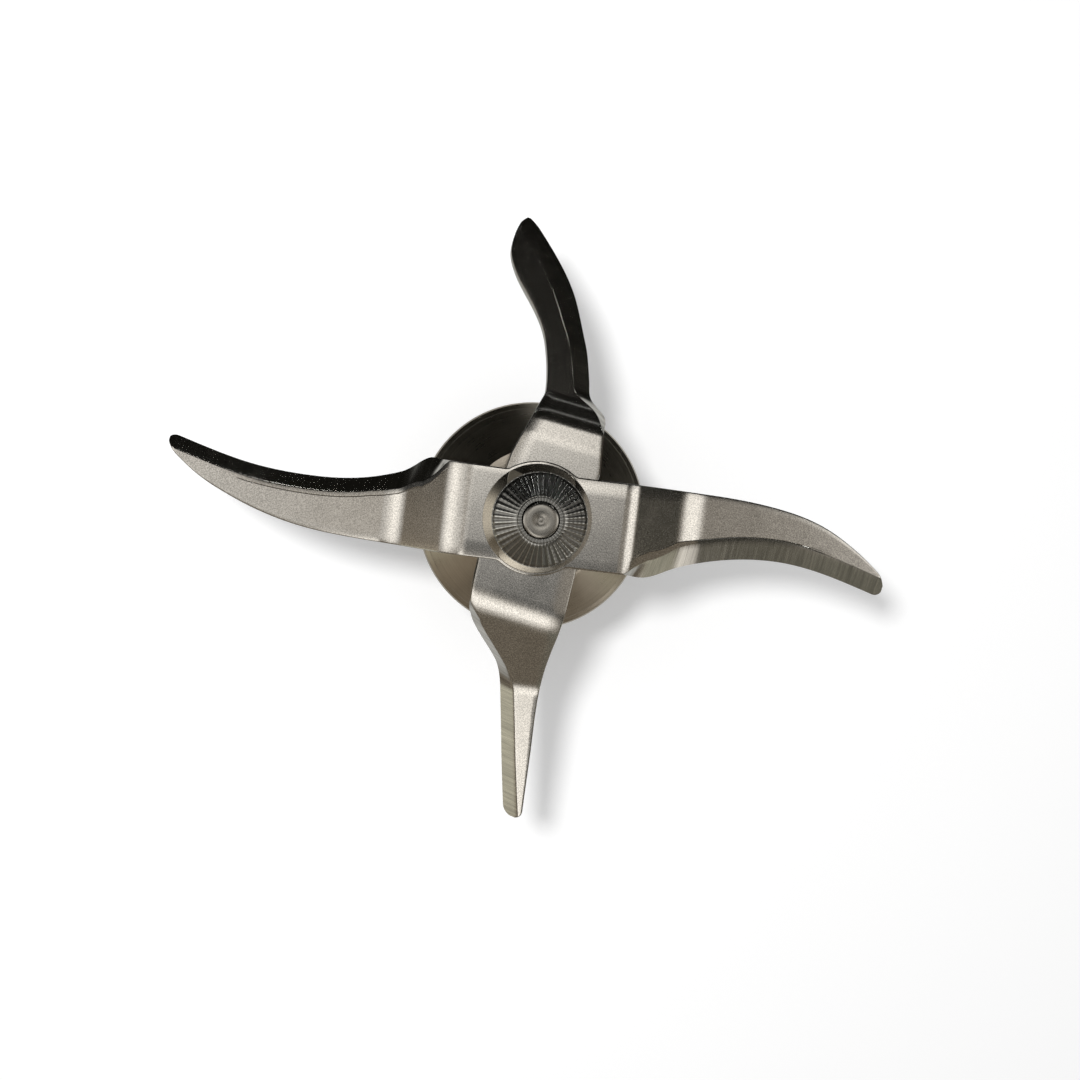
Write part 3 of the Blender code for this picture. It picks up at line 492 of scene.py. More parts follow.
def circle(edit, steps, radius, height):
    """Add a ring of corners round the axis, or one corner where the radius is 0."""
    if radius < 1e-7:
        return [edit.verts.new((0, 0, height))]
    angles = [2 * math.pi * i / steps for i in range(steps)]
    return [edit.verts.new((radius * math.cos(a), radius * math.sin(a), height)) for a in angles]


def band(edit, one, two):
    """Join two rings of corners with faces; either ring may be a single corner."""
    count = max(len(one), len(two))
    faces = []
    for i in range(count if count > 1 else 0):
        j = (i + 1) % count
        corners = (one[i % len(one)], one[j % len(one)], two[j % len(two)], two[i % len(two)])
        faces.append(edit.faces.new(list(dict.fromkeys(corners))))
    return faces


def turned_mesh(name, profile, steps):
    """Turn a profile of (radius, height) about the axis."""
    mesh = bpy.data.meshes.new(name)
    edit = bmesh.new()
    rings = [circle(edit, steps, radius, height) for radius, height in profile]
    for one, two in zip(rings, rings[1:] + rings[:1]):
        band(edit, one, two)
    edit.to_mesh(mesh)
    edit.free()
    return mesh


def box_mesh(name, low, high, edge=0.0):
    """Make a box between two corners, its edges rounded."""
    mesh = bpy.data.meshes.new(name)
    edit = bmesh.new()
    bmesh.ops.create_cube(edit, size=1)
    for vertex in edit.verts:
        vertex.co = Vector([a + (b - a) * (c + 0.5) for a, b, c in zip(low, high, vertex.co)])
    if edge > 0:
        bmesh.ops.bevel(edit, geom=edit.edges[:], offset=edge, segments=3, affect="EDGES",
                        profile=0.5)
    edit.to_mesh(mesh)
    edit.free()
    return mesh


# Blade plates

def smooth_value(knots, at):
    """Read a smooth curve through knots of (place, value, slope)."""
    if at <= knots[0][0]:
        return knots[0][1]
    for (x0, y0, m0), (x1, y1, m1) in zip(knots, knots[1:]):
        if at <= x1:
            span = x1 - x0
            t = (at - x0) / span
            return (y0 * (1 - 3 * t**2 + 2 * t**3) + m0 * span * (t - 2 * t**2 + t**3)
                    + y1 * (3 * t**2 - 2 * t**3) + m1 * span * (t**3 - t**2))
    return knots[-1][1]


def straight_value(knots, at):
    """Read straight lines through knots of (place, value)."""
    if at <= knots[0][0]:
        return knots[0][1]
    for (x0, y0), (x1, y1) in zip(knots, knots[1:]):
        if at <= x1:
            return y0 + (y1 - y0) * (at - x0) / (x1 - x0)
    return knots[-1][1]


def edge_knots(arm, side):
    """Scale an edge's knots to the arm's reach."""
    return [(share * arm["reach"], value, slope) for share, value, slope in arm[side]]


def fold_point(point, fold):
    """Bend a point about a fold line across the arm; a negative angle folds down."""
    start, skew, angle, radius = fold
    turn = math.radians(skew)
    out = Vector((math.cos(turn), math.sin(turn), 0))
    along = Vector((-math.sin(turn), math.cos(turn), 0))
    origin = Vector((start, 0, 0))
    flat = Vector((point.x, point.y, 0)) - origin
    distance = flat.dot(out)
    if distance <= 0:
        return point.copy()
    sign = 1 if angle > 0 else -1
    bend = min(distance / radius, math.radians(abs(angle)))
    rest = distance - bend * radius
    inner = radius - sign * point.z
    reach = inner * math.sin(bend) + rest * math.cos(bend)
    rise = sign * (radius - inner * math.cos(bend) + rest * math.sin(bend))
    return origin + out * reach + along * flat.dot(along) + Vector((0, 0, rise))


def arm_stations(arm):
    """List the distances along a flat arm at which its section is drawn."""
    reach = arm["reach"]
    stations = [EYE_RADIUS * math.sin(math.radians(a)) for a in range(4, 88, 4)]
    for start, _, angle, radius in arm["folds"]:
        length = radius * math.radians(abs(angle))
        stations += [start + length * i / 16 for i in range(-1, 18)]
    step = 0.5 * MM
    count = int((reach - TIP_ROUND - EYE_RADIUS) / step)
    stations += [EYE_RADIUS + step * i for i in range(count + 1)]
    stations += [reach - TIP_ROUND * (1 - s) for s in (0, 0.25, 0.45, 0.6, 0.72, 0.81, 0.88, 0.93)]
    stations.sort()
    kept = [stations[0]]
    for at in stations[1:]:
        if at - kept[-1] > 0.06 * MM:
            kept.append(at)
    return kept


def arm_section(arm, at):
    """Give a flat arm's section: its corners, its bevel's drop and growth, and its top.

    Near the tip the bevel's plane takes up the whole width and lowers the top."""
    reach = arm["reach"]
    lead_knots = edge_knots(arm, "lead")
    back_knots = edge_knots(arm, "back")
    eye = math.sqrt(max(EYE_RADIUS**2 - at**2, 0))
    root = arm["root_half"]
    first_lead, first_back = lead_knots[0], back_knots[0]
    lead = smooth_value(lead_knots, at) if at > first_lead[0] else first_lead[1]
    back = smooth_value(back_knots, at) if at > first_back[0] else first_back[1]
    if at < first_lead[0]:
        lead = max(root + (first_lead[1] - root) * at / first_lead[0], eye)
    if at < first_back[0]:
        back = min(-root + (first_back[1] + root) * at / first_back[0], -eye)
    knots = [(share * reach, width) for share, width in arm["bevel"]]
    wanted = straight_value(knots, at)
    grown = max(min(1.0, (wanted - EDGE_BREAK) / (2.0 * MM)), 0.0)
    slope = (EDGE_BREAK + (PLATE_THICKNESS - EDGE_LAND - EDGE_BREAK) * grown) / wanted
    ground = lead - wanted
    past = (at - (reach - TIP_ROUND)) / TIP_ROUND
    if past > 0:
        shrink = math.sqrt(max(1 - past**2, 0.0))
        middle = (lead + back) / 2
        lead = middle + (lead - middle) * shrink
        back = middle + (back - middle) * shrink
    rim = min(EDGE_BREAK, 0.1 * (lead - back))
    ridge = max(ground, back + rim + 0.06 * (lead - back))
    top = PLATE_THICKNESS - slope * (ridge - ground)
    return lead, ridge, back, rim, slope * (lead - ridge), grown, top


# A plate's finishes by their place in its list of materials
TOP, BEVEL, WALL = 0, 1, 2


def fine_section(arm, at):
    """Draw a section closely: list of (side, height) and the finish of each stretch after it."""
    lead, ridge, back, rim, drop, grown, top = arm_section(arm, at)
    width = lead - ridge
    whole = lead - back
    soft = min(0.14 * MM, 0.04 * whole)
    edge = WALL if grown < 0.5 else BEVEL
    place = at / arm["reach"]
    strength = straight_value(arm["crease"], place)
    offset = min(straight_value(arm["crease_offset"], place), 0.3 * (ridge - back))
    fall = arm["crease_fall"] * strength
    groove = 0.05 * MM * strength
    half = min(0.09 * MM, 0.2 * offset)
    crease = ridge - offset
    points = [(lead - 0.2 * rim, 0.0, edge), (lead, 0.2 * rim, edge)]
    low = top - drop
    points.append((lead, low, BEVEL))
    for t in (0.25, 0.5, 0.75):
        points.append((lead - width * t, low + (drop - fall) * t, BEVEL))
    share = min(soft / max(width, soft), 0.3)
    points.append((ridge + width * share, top - fall - (drop - fall) * share, BEVEL))
    points.append((ridge - 0.1 * soft, top - fall - 0.12 * (drop - fall) * share, TOP))
    points.append((ridge - soft, top - fall * (1 - soft / offset), TOP))
    points.append((crease + 1.7 * half, top - fall * (1.7 * half / offset), TOP))
    points.append((crease + half, top - fall * (half / offset), TOP))
    points.append((crease, top - fall * (half / offset) - groove, TOP))
    points.append((crease - half, top, TOP))
    points.append((crease - 1.7 * half, top, TOP))
    shoulder = back + rim
    for t in (0.2, 0.4, 0.6, 0.8):
        points.append((crease - half + (shoulder - crease + half) * t, top, TOP))
    points.append((shoulder, top, TOP))
    for angle in (30, 60, 90):
        a = math.radians(angle)
        points.append((shoulder - rim * math.sin(a), top - EDGE_BREAK * (1 - math.cos(a)),
                       TOP if angle < 60 else WALL))
    points.append((back, 0.25 * EDGE_BREAK, WALL))
    points.append((back + 0.25 * rim, 0.0, TOP))
    for t in (0.33, 0.66):
        points.append((back + whole * t, 0.0, TOP))
    return points


def skew_shift(arm, at):
    """Lean the sections with the fold lines that they pass."""
    (first, first_skew, _, _), (second, second_skew, _, _) = arm["folds"][0], arm["folds"][-1]
    knots = [(EYE_RADIUS, 0.0), (first, math.tan(math.radians(first_skew))),
             (second, math.tan(math.radians(second_skew))), (arm["reach"] * 0.8, 0.0)]
    return straight_value(knots, at)


def folded_section(arm, at):
    """Give an arm's section in its folded place: (place, spot on the blank, finish)."""
    lean = skew_shift(arm, at)
    points = []
    for side, height, finish in fine_section(arm, at):
        shifted = at - lean * side
        corner = Vector((shifted, side, height - PLATE_THICKNESS / 2))
        for fold in reversed(arm["folds"]):
            corner = fold_point(corner, fold)
        place = Vector((corner.x, -corner.y, corner.z + PLATE_THICKNESS / 2))
        points.append((place, (shifted, -side), finish))
    return points


def blade_plate_mesh(name, first_arm, second_arm, turn, height):
    """Loft one blade plate from the tip of one arm through its eye to the other's tip."""
    sections = []
    for at in reversed(arm_stations(second_arm)):
        points = folded_section(second_arm, at)
        sections.append([(Vector((-p.x, -p.y, p.z)), (-u[0], -u[1]), f) for p, u, f in points])
    middle = len(sections)
    sections += [folded_section(first_arm, at) for at in arm_stations(first_arm)]
    mesh = bpy.data.meshes.new(name)
    edit = bmesh.new()
    flat = edit.loops.layers.uv.new("blank")
    spots = {}
    rings = []
    for points in sections:
        ring = []
        for place, spot, finish in points:
            vertex = edit.verts.new(place)
            spots[vertex] = spot
            ring.append(vertex)
        rings.append((ring, [finish for _, _, finish in points]))
    for index, ((near, near_kinds), (far, far_kinds)) in enumerate(zip(rings, rings[1:])):
        if index == middle - 1:
            continue
        kinds = near_kinds if index < middle else far_kinds
        for face, kind in zip(band(edit, near, far), kinds):
            face.material_index = kind
    near, far = rings[middle - 1][0], rings[middle][0]
    band(edit, near, matched(near, far))
    edit.faces.new(rings[0][0])
    edit.faces.new(rings[-1][0])
    edit.faces.ensure_lookup_table()
    edit.normal_update()
    for face in edit.faces:
        for loop in face.loops:
            u, v = spots[loop.vert]
            loop[flat].uv = (u * BLANK_SCALE, v * BLANK_SCALE)
    bmesh.ops.recalc_face_normals(edit, faces=edit.faces)
    open_hole(edit, flat, turn)
    bmesh.ops.recalc_face_normals(edit, faces=edit.faces)
    edit.to_mesh(mesh)
    edit.free()
    mesh.transform(Matrix.Translation((0, 0, height)) @ Matrix.Rotation(math.radians(turn), 4, "Z"))
    return mesh


def matched(near, far):
    """Put the corners of a mirrored ring in the order of the ring that they face."""
    count = len(near)
    orders = [[far[(step - i) % count] for i in range(count)] for step in range(count)]
    return min(orders, key=lambda ring: sum((a.co - b.co).length for a, b in zip(near, ring)))


def open_hole(edit, flat, turn):
    """Cut the shaft's hole, round with two flats, through the plate's level middle."""
    limit = EYE_RADIUS * 0.62
    back = Matrix.Rotation(math.radians(-turn), 3, "Z")
    cut = [face for face in edit.faces
           if abs(face.normal.z) > 0.999 and face.calc_center_median().xy.length < limit
           and all(vertex.co.xy.length < EYE_RADIUS * 0.93 for vertex in face.verts)]
    levels = sorted({round(face.calc_center_median().z, 6) for face in cut})
    bmesh.ops.delete(edit, geom=cut, context="FACES")
    count = 96
    rings = []
    for level in levels:
        ring = []
        for i in range(count):
            a = 2 * math.pi * i / count
            x, y = (SHAFT_RADIUS + SEAT) * math.cos(a), (SHAFT_RADIUS + SEAT) * math.sin(a)
            y = max(-FLAT_HALF - SEAT, min(FLAT_HALF + SEAT, y))
            ring.append(edit.verts.new(back @ Vector((x, y, level))))
        loop = [edit.edges.new((ring[i], ring[(i + 1) % count])) for i in range(count)]
        border = [e for e in edit.edges
                  if e.is_boundary and all(abs(v.co.z - level) < 1e-6 for v in e.verts)]
        filled = bmesh.ops.triangle_fill(edit, edges=loop + border, use_beauty=True)
        for face in filled["geom"]:
            if isinstance(face, bmesh.types.BMFace):
                for corner in face.loops:
                    corner[flat].uv = corner.vert.co.xy * BLANK_SCALE
        rings.append(ring)
    band(edit, *rings)


def make_plates():
    """Make the two crossed plates with their three finishes."""
    finishes = [satin_steel("satin_blade_steel", (0.62, 0.612, 0.59), 0.18),
                ground_steel("ground_bevel_steel", (0.60, 0.59, 0.56), 0.2),
                sheared_steel("sheared_edge_steel", (0.50, 0.49, 0.46), 0.36)]
    for name, node, first, second, turn, height in (
            ("long_arms_plate", "upper_blade", RIGHT_ARM, LEFT_ARM, 0.0, UPPER_PLATE),
            ("short_arms_plate", "lower_blade", TOP_ARM, BOTTOM_ARM, SHORT_PLATE_TURN,
             LOWER_PLATE)):
        mesh = blade_plate_mesh(name, first, second, turn, height)
        plate = show(name, finish_mesh(mesh, finishes, sharp=28.0))
        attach(plate, "rotor")
        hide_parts(node)


# Cap

def rib_tree():
    """Build the tree that raises the ribs on the cap's cone."""
    tree = bpy.data.node_groups.new("cap_ribs", "GeometryNodeTree")
    tree.interface.new_socket("Geometry", in_out="INPUT", socket_type="NodeSocketGeometry")
    for name in ("Rib Count", "Rib Height", "Inner Radius", "Outer Radius", "Lowest Rib"):
        tree.interface.new_socket(name, in_out="INPUT", socket_type="NodeSocketFloat")
    tree.interface.new_socket("Steel", in_out="INPUT", socket_type="NodeSocketMaterial")
    tree.interface.new_socket("Geometry", in_out="OUTPUT", socket_type="NodeSocketGeometry")
    w = Wiring(tree)
    given = tree.nodes.new("NodeGroupInput").outputs
    count, height, inner, outer, lowest = [Signal(tree, given[i]) for i in range(1, 6)]
    x, y, z = w.split(w.node("GeometryNodeInputPosition"))
    radius = (x * x + y * y) ** 0.5
    angle = w.node("ShaderNodeMath", {"operation": "ARCTAN2"}, {0: y, 1: x})
    wave = w.node("ShaderNodeMath", {"operation": "SINE"}, {0: angle * count}) * 0.5 + 0.5
    past_outer = radius.ramp(outer - 0.1 * MM, outer + 0.1 * MM)
    zone = radius.ramp(inner, inner + 0.5 * MM) * (1 - past_outer)
    upper = z.ramp(lowest, lowest + 0.2 * MM)
    growth = 0.45 + 0.55 * (radius - inner) / (outer - inner)
    lift = wave * zone * upper * growth * height
    moved = w.node("GeometryNodeSetPosition", None,
                   {"Geometry": Signal(tree, given[0]), "Offset": w.vector(0.0, 0.0, lift)})
    real = w.node("GeometryNodeRealizeInstances", None, {0: moved})
    clad = w.node("GeometryNodeSetMaterial", None,
                  {"Geometry": real, "Material": Signal(tree, given[6])})
    out = tree.nodes.new("NodeGroupOutput")
    join(tree, clad, out.inputs[0])
    return tree


def set_inputs(modifier, values):
    """Set a Geometry Nodes modifier's inputs by their sockets' identifiers."""
    for item in modifier.node_group.interface.items_tree:
        if item.item_type == "SOCKET" and item.in_out == "INPUT" and item.name in values:
            modifier[item.identifier] = values[item.name]


def make_cap():
    """Make the cap: a shallow ribbed cone over a tapered wall that ends in a short upright foot."""
    steel = ribbed_steel("polished_cap_steel", (0.37, 0.375, 0.365), (0.60, 0.55, 0.45), 0.28,
                         RIB_COUNT)

    def bed(radius):
        """Height of the cone between two ribs."""
        return CAP_HUB - CONE_SLOPE * (radius - CONE_RADIUS) - RIB_BED

    brim = CAP_CREST - 0.22 * MM
    corners = [(CAP_LIP_RADIUS, CAP_HUB - 0.6 * MM), (CAP_LIP_RADIUS, CAP_HUB),
               (CONE_RADIUS - 0.24 * MM, CAP_HUB), (CONE_RADIUS - 0.1 * MM, CAP_HUB - 0.16 * MM),
               (RIB_INNER_RADIUS, bed(RIB_INNER_RADIUS))]
    radii = [0.05 * MM, 0.06 * MM, 0.1 * MM, 0, 0]
    rings = 14
    for i in range(1, rings + 1):
        radius = RIB_INNER_RADIUS + (RIB_OUTER_RADIUS - RIB_INNER_RADIUS) * i / rings
        corners.append((radius, bed(radius)))
        radii.append(0)
    corners += [(CAP_CREST_RADIUS - 0.1 * MM, brim), (CAP_CREST_RADIUS, brim),
                (CAP_CREST_RADIUS + 0.02 * MM, CAP_CREST - 0.3 * MM),
                (CAP_BASE_RADIUS - 0.03 * MM, CAP_BASE + 0.45 * MM),
                (CAP_BASE_RADIUS, CAP_BASE + 0.3 * MM), (CAP_BASE_RADIUS, CAP_BASE),
                (CAP_BORE_RADIUS, CAP_BASE), (CAP_BORE_RADIUS, CAP_HUB - 0.9 * MM)]
    radii += [0.05 * MM, 0.1 * MM, 0.15 * MM, 0.1 * MM, 0.1 * MM, 0.05 * MM, 0, 0.05 * MM]
    mesh = turned_mesh("ribbed_blade_cap", rounded(corners, radii), RIB_COUNT * 12)
    obj = show("ribbed_blade_cap", mesh)
    modifier = obj.modifiers.new("ribs", "NODES")
    modifier.node_group = rib_tree()
    set_inputs(modifier, {"Rib Count": float(RIB_COUNT), "Rib Height": RIB_HEIGHT,
                          "Inner Radius": RIB_INNER_RADIUS, "Outer Radius": RIB_OUTER_RADIUS,
                          "Lowest Rib": CAP_BASE + 4 * MM, "Steel": steel})
    mesh = applied(obj, "ribbed_blade_cap")
    mesh.materials.clear()
    cap = show("ribbed_blade_cap", finish_mesh(mesh, [steel], sharp=40.0))
    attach(cap, "rotor")
    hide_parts("blade_cap")


def make_shaft():
    """Make the shaft: domed end with a dimple, flats through the plates, ring groove below."""
    steel = turned_steel("turned_shaft_steel", (0.37, 0.362, 0.34), 0.24, pitch=0.35 * MM)
    top = SHAFT_END
    groove = SHAFT_RADIUS - 0.6 * MM
    bottom = COUPLING_FLOOR + SEAT
    dome = [(0, top - 0.13 * MM), (0.25 * MM, top - 0.14 * MM), (0.5 * MM, top - 0.17 * MM),
            (0.8 * MM, top - 0.11 * MM), (1.2 * MM, top - 0.03 * MM), (1.7 * MM, top),
            (2.4 * MM, top - 0.015 * MM), (2.86 * MM, top - 0.05 * MM),
            (3.02 * MM, top - 0.14 * MM), (SHAFT_TOP_RADIUS, top - 0.32 * MM)]
    low = [(SHAFT_TOP_RADIUS, CAP_BASE), (SHAFT_RADIUS - 0.2 * MM, CAP_BASE),
           (SHAFT_RADIUS, CAP_BASE - 0.2 * MM), (SHAFT_RADIUS, GROOVE_TOP),
           (groove, GROOVE_TOP), (groove, GROOVE_BOTTOM),
           (SHAFT_RADIUS, GROOVE_BOTTOM), (SHAFT_RADIUS, COUPLING_TOP + SEAT),
           (SHAFT_NECK_RADIUS, COUPLING_TOP + SEAT), (SHAFT_NECK_RADIUS, bottom), (0, bottom)]
    mesh = turned_mesh("turned_drive_shaft", dome + low, 96)
    reach = SHAFT_RADIUS + MM
    tools = []
    for side in (-1, 1):
        near, far = sorted((side * FLAT_HALF, side * reach))
        tools.append(box_mesh("flat", (-reach, near, COLLAR_TOP), (reach, far, CAP_BASE + MM)))
    finish_mesh(mesh, [steel])
    mesh = combined("turned_drive_shaft", mesh, tools)
    shaft = show("turned_drive_shaft", finish_mesh(mesh, [steel], sharp=35.0))
    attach(shaft, "rotor")
    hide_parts("drive_shaft")


def make_collar():
    """Make the hub collar with eased edges."""
    steel = turned_steel("turned_collar_steel", (0.56, 0.545, 0.515), 0.3)
    outer, inner = SEAL_RADIUS, SHAFT_RADIUS + SEAT
    edge = 0.4 * MM
    corners = [(outer, COLLAR_TOP), (outer, COLLAR_BOTTOM + edge), (outer - edge, COLLAR_BOTTOM),
               (inner, COLLAR_BOTTOM), (inner, COLLAR_TOP)]
    radii = [0.12 * MM, 0.15 * MM, 0.15 * MM, 0.1 * MM, 0.1 * MM]
    mesh = turned_mesh("turned_hub_collar", rounded(corners, radii, 3), 128)
    collar = show("turned_hub_collar", finish_mesh(mesh, [steel]))
    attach(collar, "rotor")
    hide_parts("hub_collar")


def make_housing():
    """Make the bearing housing: bell, sleeve, bores and bayonet lugs."""
    steel = turned_steel("turned_housing_steel", (0.56, 0.52, 0.455), 0.3, pitch=0.3 * MM,
                         depth=0.000008, stain=0.3)
    bore = BEARING_OUTER_RADIUS + SEAT
    seal_bore = SEAL_RADIUS + SEAT
    neck = SEAL_RADIUS + RUNNING_GAP
    shelf = SEAL_RADIUS - 1.4 * MM
    groove = MOUTH_RADIUS + 0.5 * MM + SEAT
    lip_inner = RIM_RADIUS - 1.0 * MM
    skirt_inner = RIM_RADIUS - SKIRT_WALL
    corners = [(neck, LAND_Z), (LAND_RADIUS, LAND_Z), (LAND_RADIUS + 0.45 * MM, LAND_Z - 0.35 * MM),
               (lip_inner - 0.2 * MM, RIM_Z + 0.45 * MM), (lip_inner - 0.1 * MM, RIM_Z + 0.32 * MM),
               (RIM_RADIUS - 0.3 * MM, RIM_Z - 0.28 * MM), (RIM_RADIUS, RIM_Z - 0.8 * MM),
               (RIM_RADIUS, SKIRT_BOTTOM + 0.3 * MM), (RIM_RADIUS - 0.3 * MM, SKIRT_BOTTOM),
               (skirt_inner, SKIRT_BOTTOM), (skirt_inner, UNDERSIDE_Z),
               (SLEEVE_RADIUS, UNDERSIDE_Z), (SLEEVE_RADIUS, 0.5 * MM),
               (SLEEVE_RADIUS - 0.5 * MM, 0), (MOUTH_RADIUS + 0.5 * MM, 0),
               (MOUTH_RADIUS, 0.5 * MM), (MOUTH_RADIUS, GROOVE_BOTTOM),
               (groove, GROOVE_BOTTOM), (groove, GROOVE_TOP),
               (bore, GROOVE_TOP), (bore, SHELF_BOTTOM), (shelf, SHELF_BOTTOM),
               (shelf, SHELF_TOP), (seal_bore, SHELF_TOP), (seal_bore, SEAL_TOP),
               (neck, SEAL_TOP + 0.3 * MM)]
    edge = 0.15 * MM
    radii = [edge, 0.25 * MM, 0.35 * MM, 0.06 * MM, 0.06 * MM, 0.5 * MM, 0.3 * MM, edge, edge,
             edge, 0.2 * MM, 0.2 * MM, edge, edge, edge, edge] + [0] * 10
    mesh = turned_mesh("turned_bearing_housing", rounded(corners, radii, 4), 192)
    finish_mesh(mesh, [steel])
    tools = []
    for i in range(LUG_COUNT):
        lug = box_mesh("lug", (SLEEVE_RADIUS - MM, -LUG_HALF_WIDTH, LUG_BOTTOM),
                       (SLEEVE_RADIUS + LUG_REACH, LUG_HALF_WIDTH, LUG_TOP), 0.35 * MM)
        lug.transform(Matrix.Rotation(2 * math.pi * (i + 0.5) / LUG_COUNT, 4, "Z"))
        tools.append(lug)
    mesh = combined("turned_bearing_housing", mesh, tools, "UNION")
    housing = show("turned_bearing_housing", finish_mesh(mesh, [steel], sharp=34.0))
    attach(housing, "housing")
    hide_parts("bearing_housing")


def make_gasket():
    """Make the sealing ring under the bell, its corners soft."""
    rubber = moulded_rubber("gasket_black_rubber")
    inner, outer = SLEEVE_RADIUS + SEAT, RIM_RADIUS - SKIRT_WALL - SEAT
    top = UNDERSIDE_Z - SEAT
    bottom = top - 1.6 * MM
    corners = [(outer, top), (outer, bottom), (inner, bottom), (inner, top)]
    mesh = turned_mesh("rubber_housing_gasket",
                       rounded(corners, [0.2 * MM, 0.5 * MM, 0.4 * MM, 0.2 * MM]), 160)
    gasket = show("rubber_housing_gasket", finish_mesh(mesh, [rubber]))
    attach(gasket, "housing")
    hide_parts("housing_gasket")


def make_coupling():
    """Make the coupling: six round lobes with eased ends and a blind bore from above."""
    steel = turned_steel("coupling_grey_steel", (0.42, 0.41, 0.40), 0.36, pitch=0.3 * MM)
    count = 144
    levels = [(COUPLING_BOTTOM, 0.35 * MM), (COUPLING_BOTTOM + 0.1 * MM, 0.15 * MM),
              (COUPLING_BOTTOM + 0.35 * MM, 0.0), (COUPLING_TOP - 0.35 * MM, 0.0),
              (COUPLING_TOP - 0.1 * MM, 0.15 * MM), (COUPLING_TOP, 0.35 * MM)]
    bore = SHAFT_NECK_RADIUS + SEAT
    mesh = bpy.data.meshes.new("lobed_drive_coupling")
    edit = bmesh.new()
    rings = []
    for height, inset in levels:
        ring = []
        for i in range(count):
            a = 2 * math.pi * i / count
            r = COUPLING_RADIUS + COUPLING_LOBE * math.cos(6 * a) - inset
            ring.append(edit.verts.new((r * math.cos(a), r * math.sin(a), height)))
        rings.append(ring)
    rings += [circle(edit, count, bore, height) for height in (COUPLING_TOP, COUPLING_FLOOR)]
    for one, two in zip(rings, rings[1:]):
        band(edit, one, two)
    edit.faces.new(rings[0])
    edit.faces.new(rings[-1])
    edit.to_mesh(mesh)
    edit.free()
    coupling = show("lobed_drive_coupling", finish_mesh(mesh, [steel], sharp=35.0))
    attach(coupling, "rotor")
    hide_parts("drive_coupling")


def dress_inner_nodes():
    """Give the pieces inside the housing their finishes."""
    bearing = turned_steel("bearing_race_steel", (0.60, 0.60, 0.59), 0.18, pitch=0.15 * MM,
                           depth=0.000003)
    ball = polished_steel("bearing_ball_steel", (0.64, 0.64, 0.63), 0.08)
    spacer = turned_steel("plain_spacer_steel", (0.50, 0.50, 0.49), 0.36)
    case = turned_steel("seal_case_steel_finish", (0.55, 0.55, 0.54), 0.32)
    spring = satin_steel("spring_clip_steel", (0.30, 0.30, 0.31), 0.34)
    brass = rolled_brass("cage_brass_finish")
    seal = moulded_rubber("seal_black_rubber")
    chosen = {"shaft_seal_case": case, "shaft_seal_lip": seal, "inner_spacer": spacer,
              "outer_spacer": spacer, "housing_circlip": spring, "shaft_retaining_ring": spring}
    for name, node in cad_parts.items():
        finish = chosen.get(name)
        if "_ring" in name and "bearing" in name:
            finish = bearing
        if "_cage" in name:
            finish = brass
        if "_ball_" in name:
            finish = ball
        if finish is None:
            continue
        for slot in node.material_slots:
            slot.material = finish


# Studio

NORTH_TURN = 7.0
WORLD_LEVEL = 0.52
LAMP_PLACE = (-0.1214, 0.0922, 0.50)
LAMP_POWER = 1.4
LAMP_SIZE = 0.08
FLOOR_HALF = 3.0
FLOOR_Z = -0.0001
FLOOR_LIFT = 0.12
TENT_RADIUS = 2.9
CAMERA_LENS = 49.604
CAMERA_PLACE = Vector((-20.43, 6.42, 303.7)) * MM
CAMERA_TARGET = Vector((0.965, -3.68, 43.7)) * MM
CAMERA_TOP = Vector((-0.1219, 0.9925, 0))


def make_floor():
    """Make the pale floor; the camera sees it a little lighter, as in a white studio."""
    mesh = bpy.data.meshes.new("floor")
    corners = ((-1, -1), (1, -1), (1, 1), (-1, 1))
    mesh.from_pydata([(x * FLOOR_HALF, y * FLOOR_HALF, FLOOR_Z) for x, y in corners], [],
                     [(0, 1, 2, 3)])
    f = Finish("white_floor", metallic=0.0)
    tone = f.noise(f.place(), 12.0)
    f.feed(f.mix(tone, (0.96, 0.96, 0.96, 1), (0.97, 0.97, 0.97, 1)), 0.9)
    f.shader.inputs["Specular IOR Level"].default_value = 0.0
    seen = f.node("ShaderNodeLightPath", output="Is Camera Ray")
    lift = f.mix(seen, (0, 0, 0, 1), (FLOOR_LIFT, FLOOR_LIFT, FLOOR_LIFT, 1))
    join(f.tree, lift, f.shader.inputs["Emission Color"])
    f.shader.inputs["Emission Strength"].default_value = 1.0
    mesh.materials.append(f.material)
    floor = show("floor", mesh)
    floor.visible_glossy = False


# Tints of the tent's cloths and walls
CLOTH = (1.0, 0.95, 0.88)
GREY = (1.0, 0.995, 0.96)
SAND = (1.0, 0.90, 0.77)
PLASTER = (1.0, 0.84, 0.64)
OLIVE = (1.0, 0.96, 0.77)

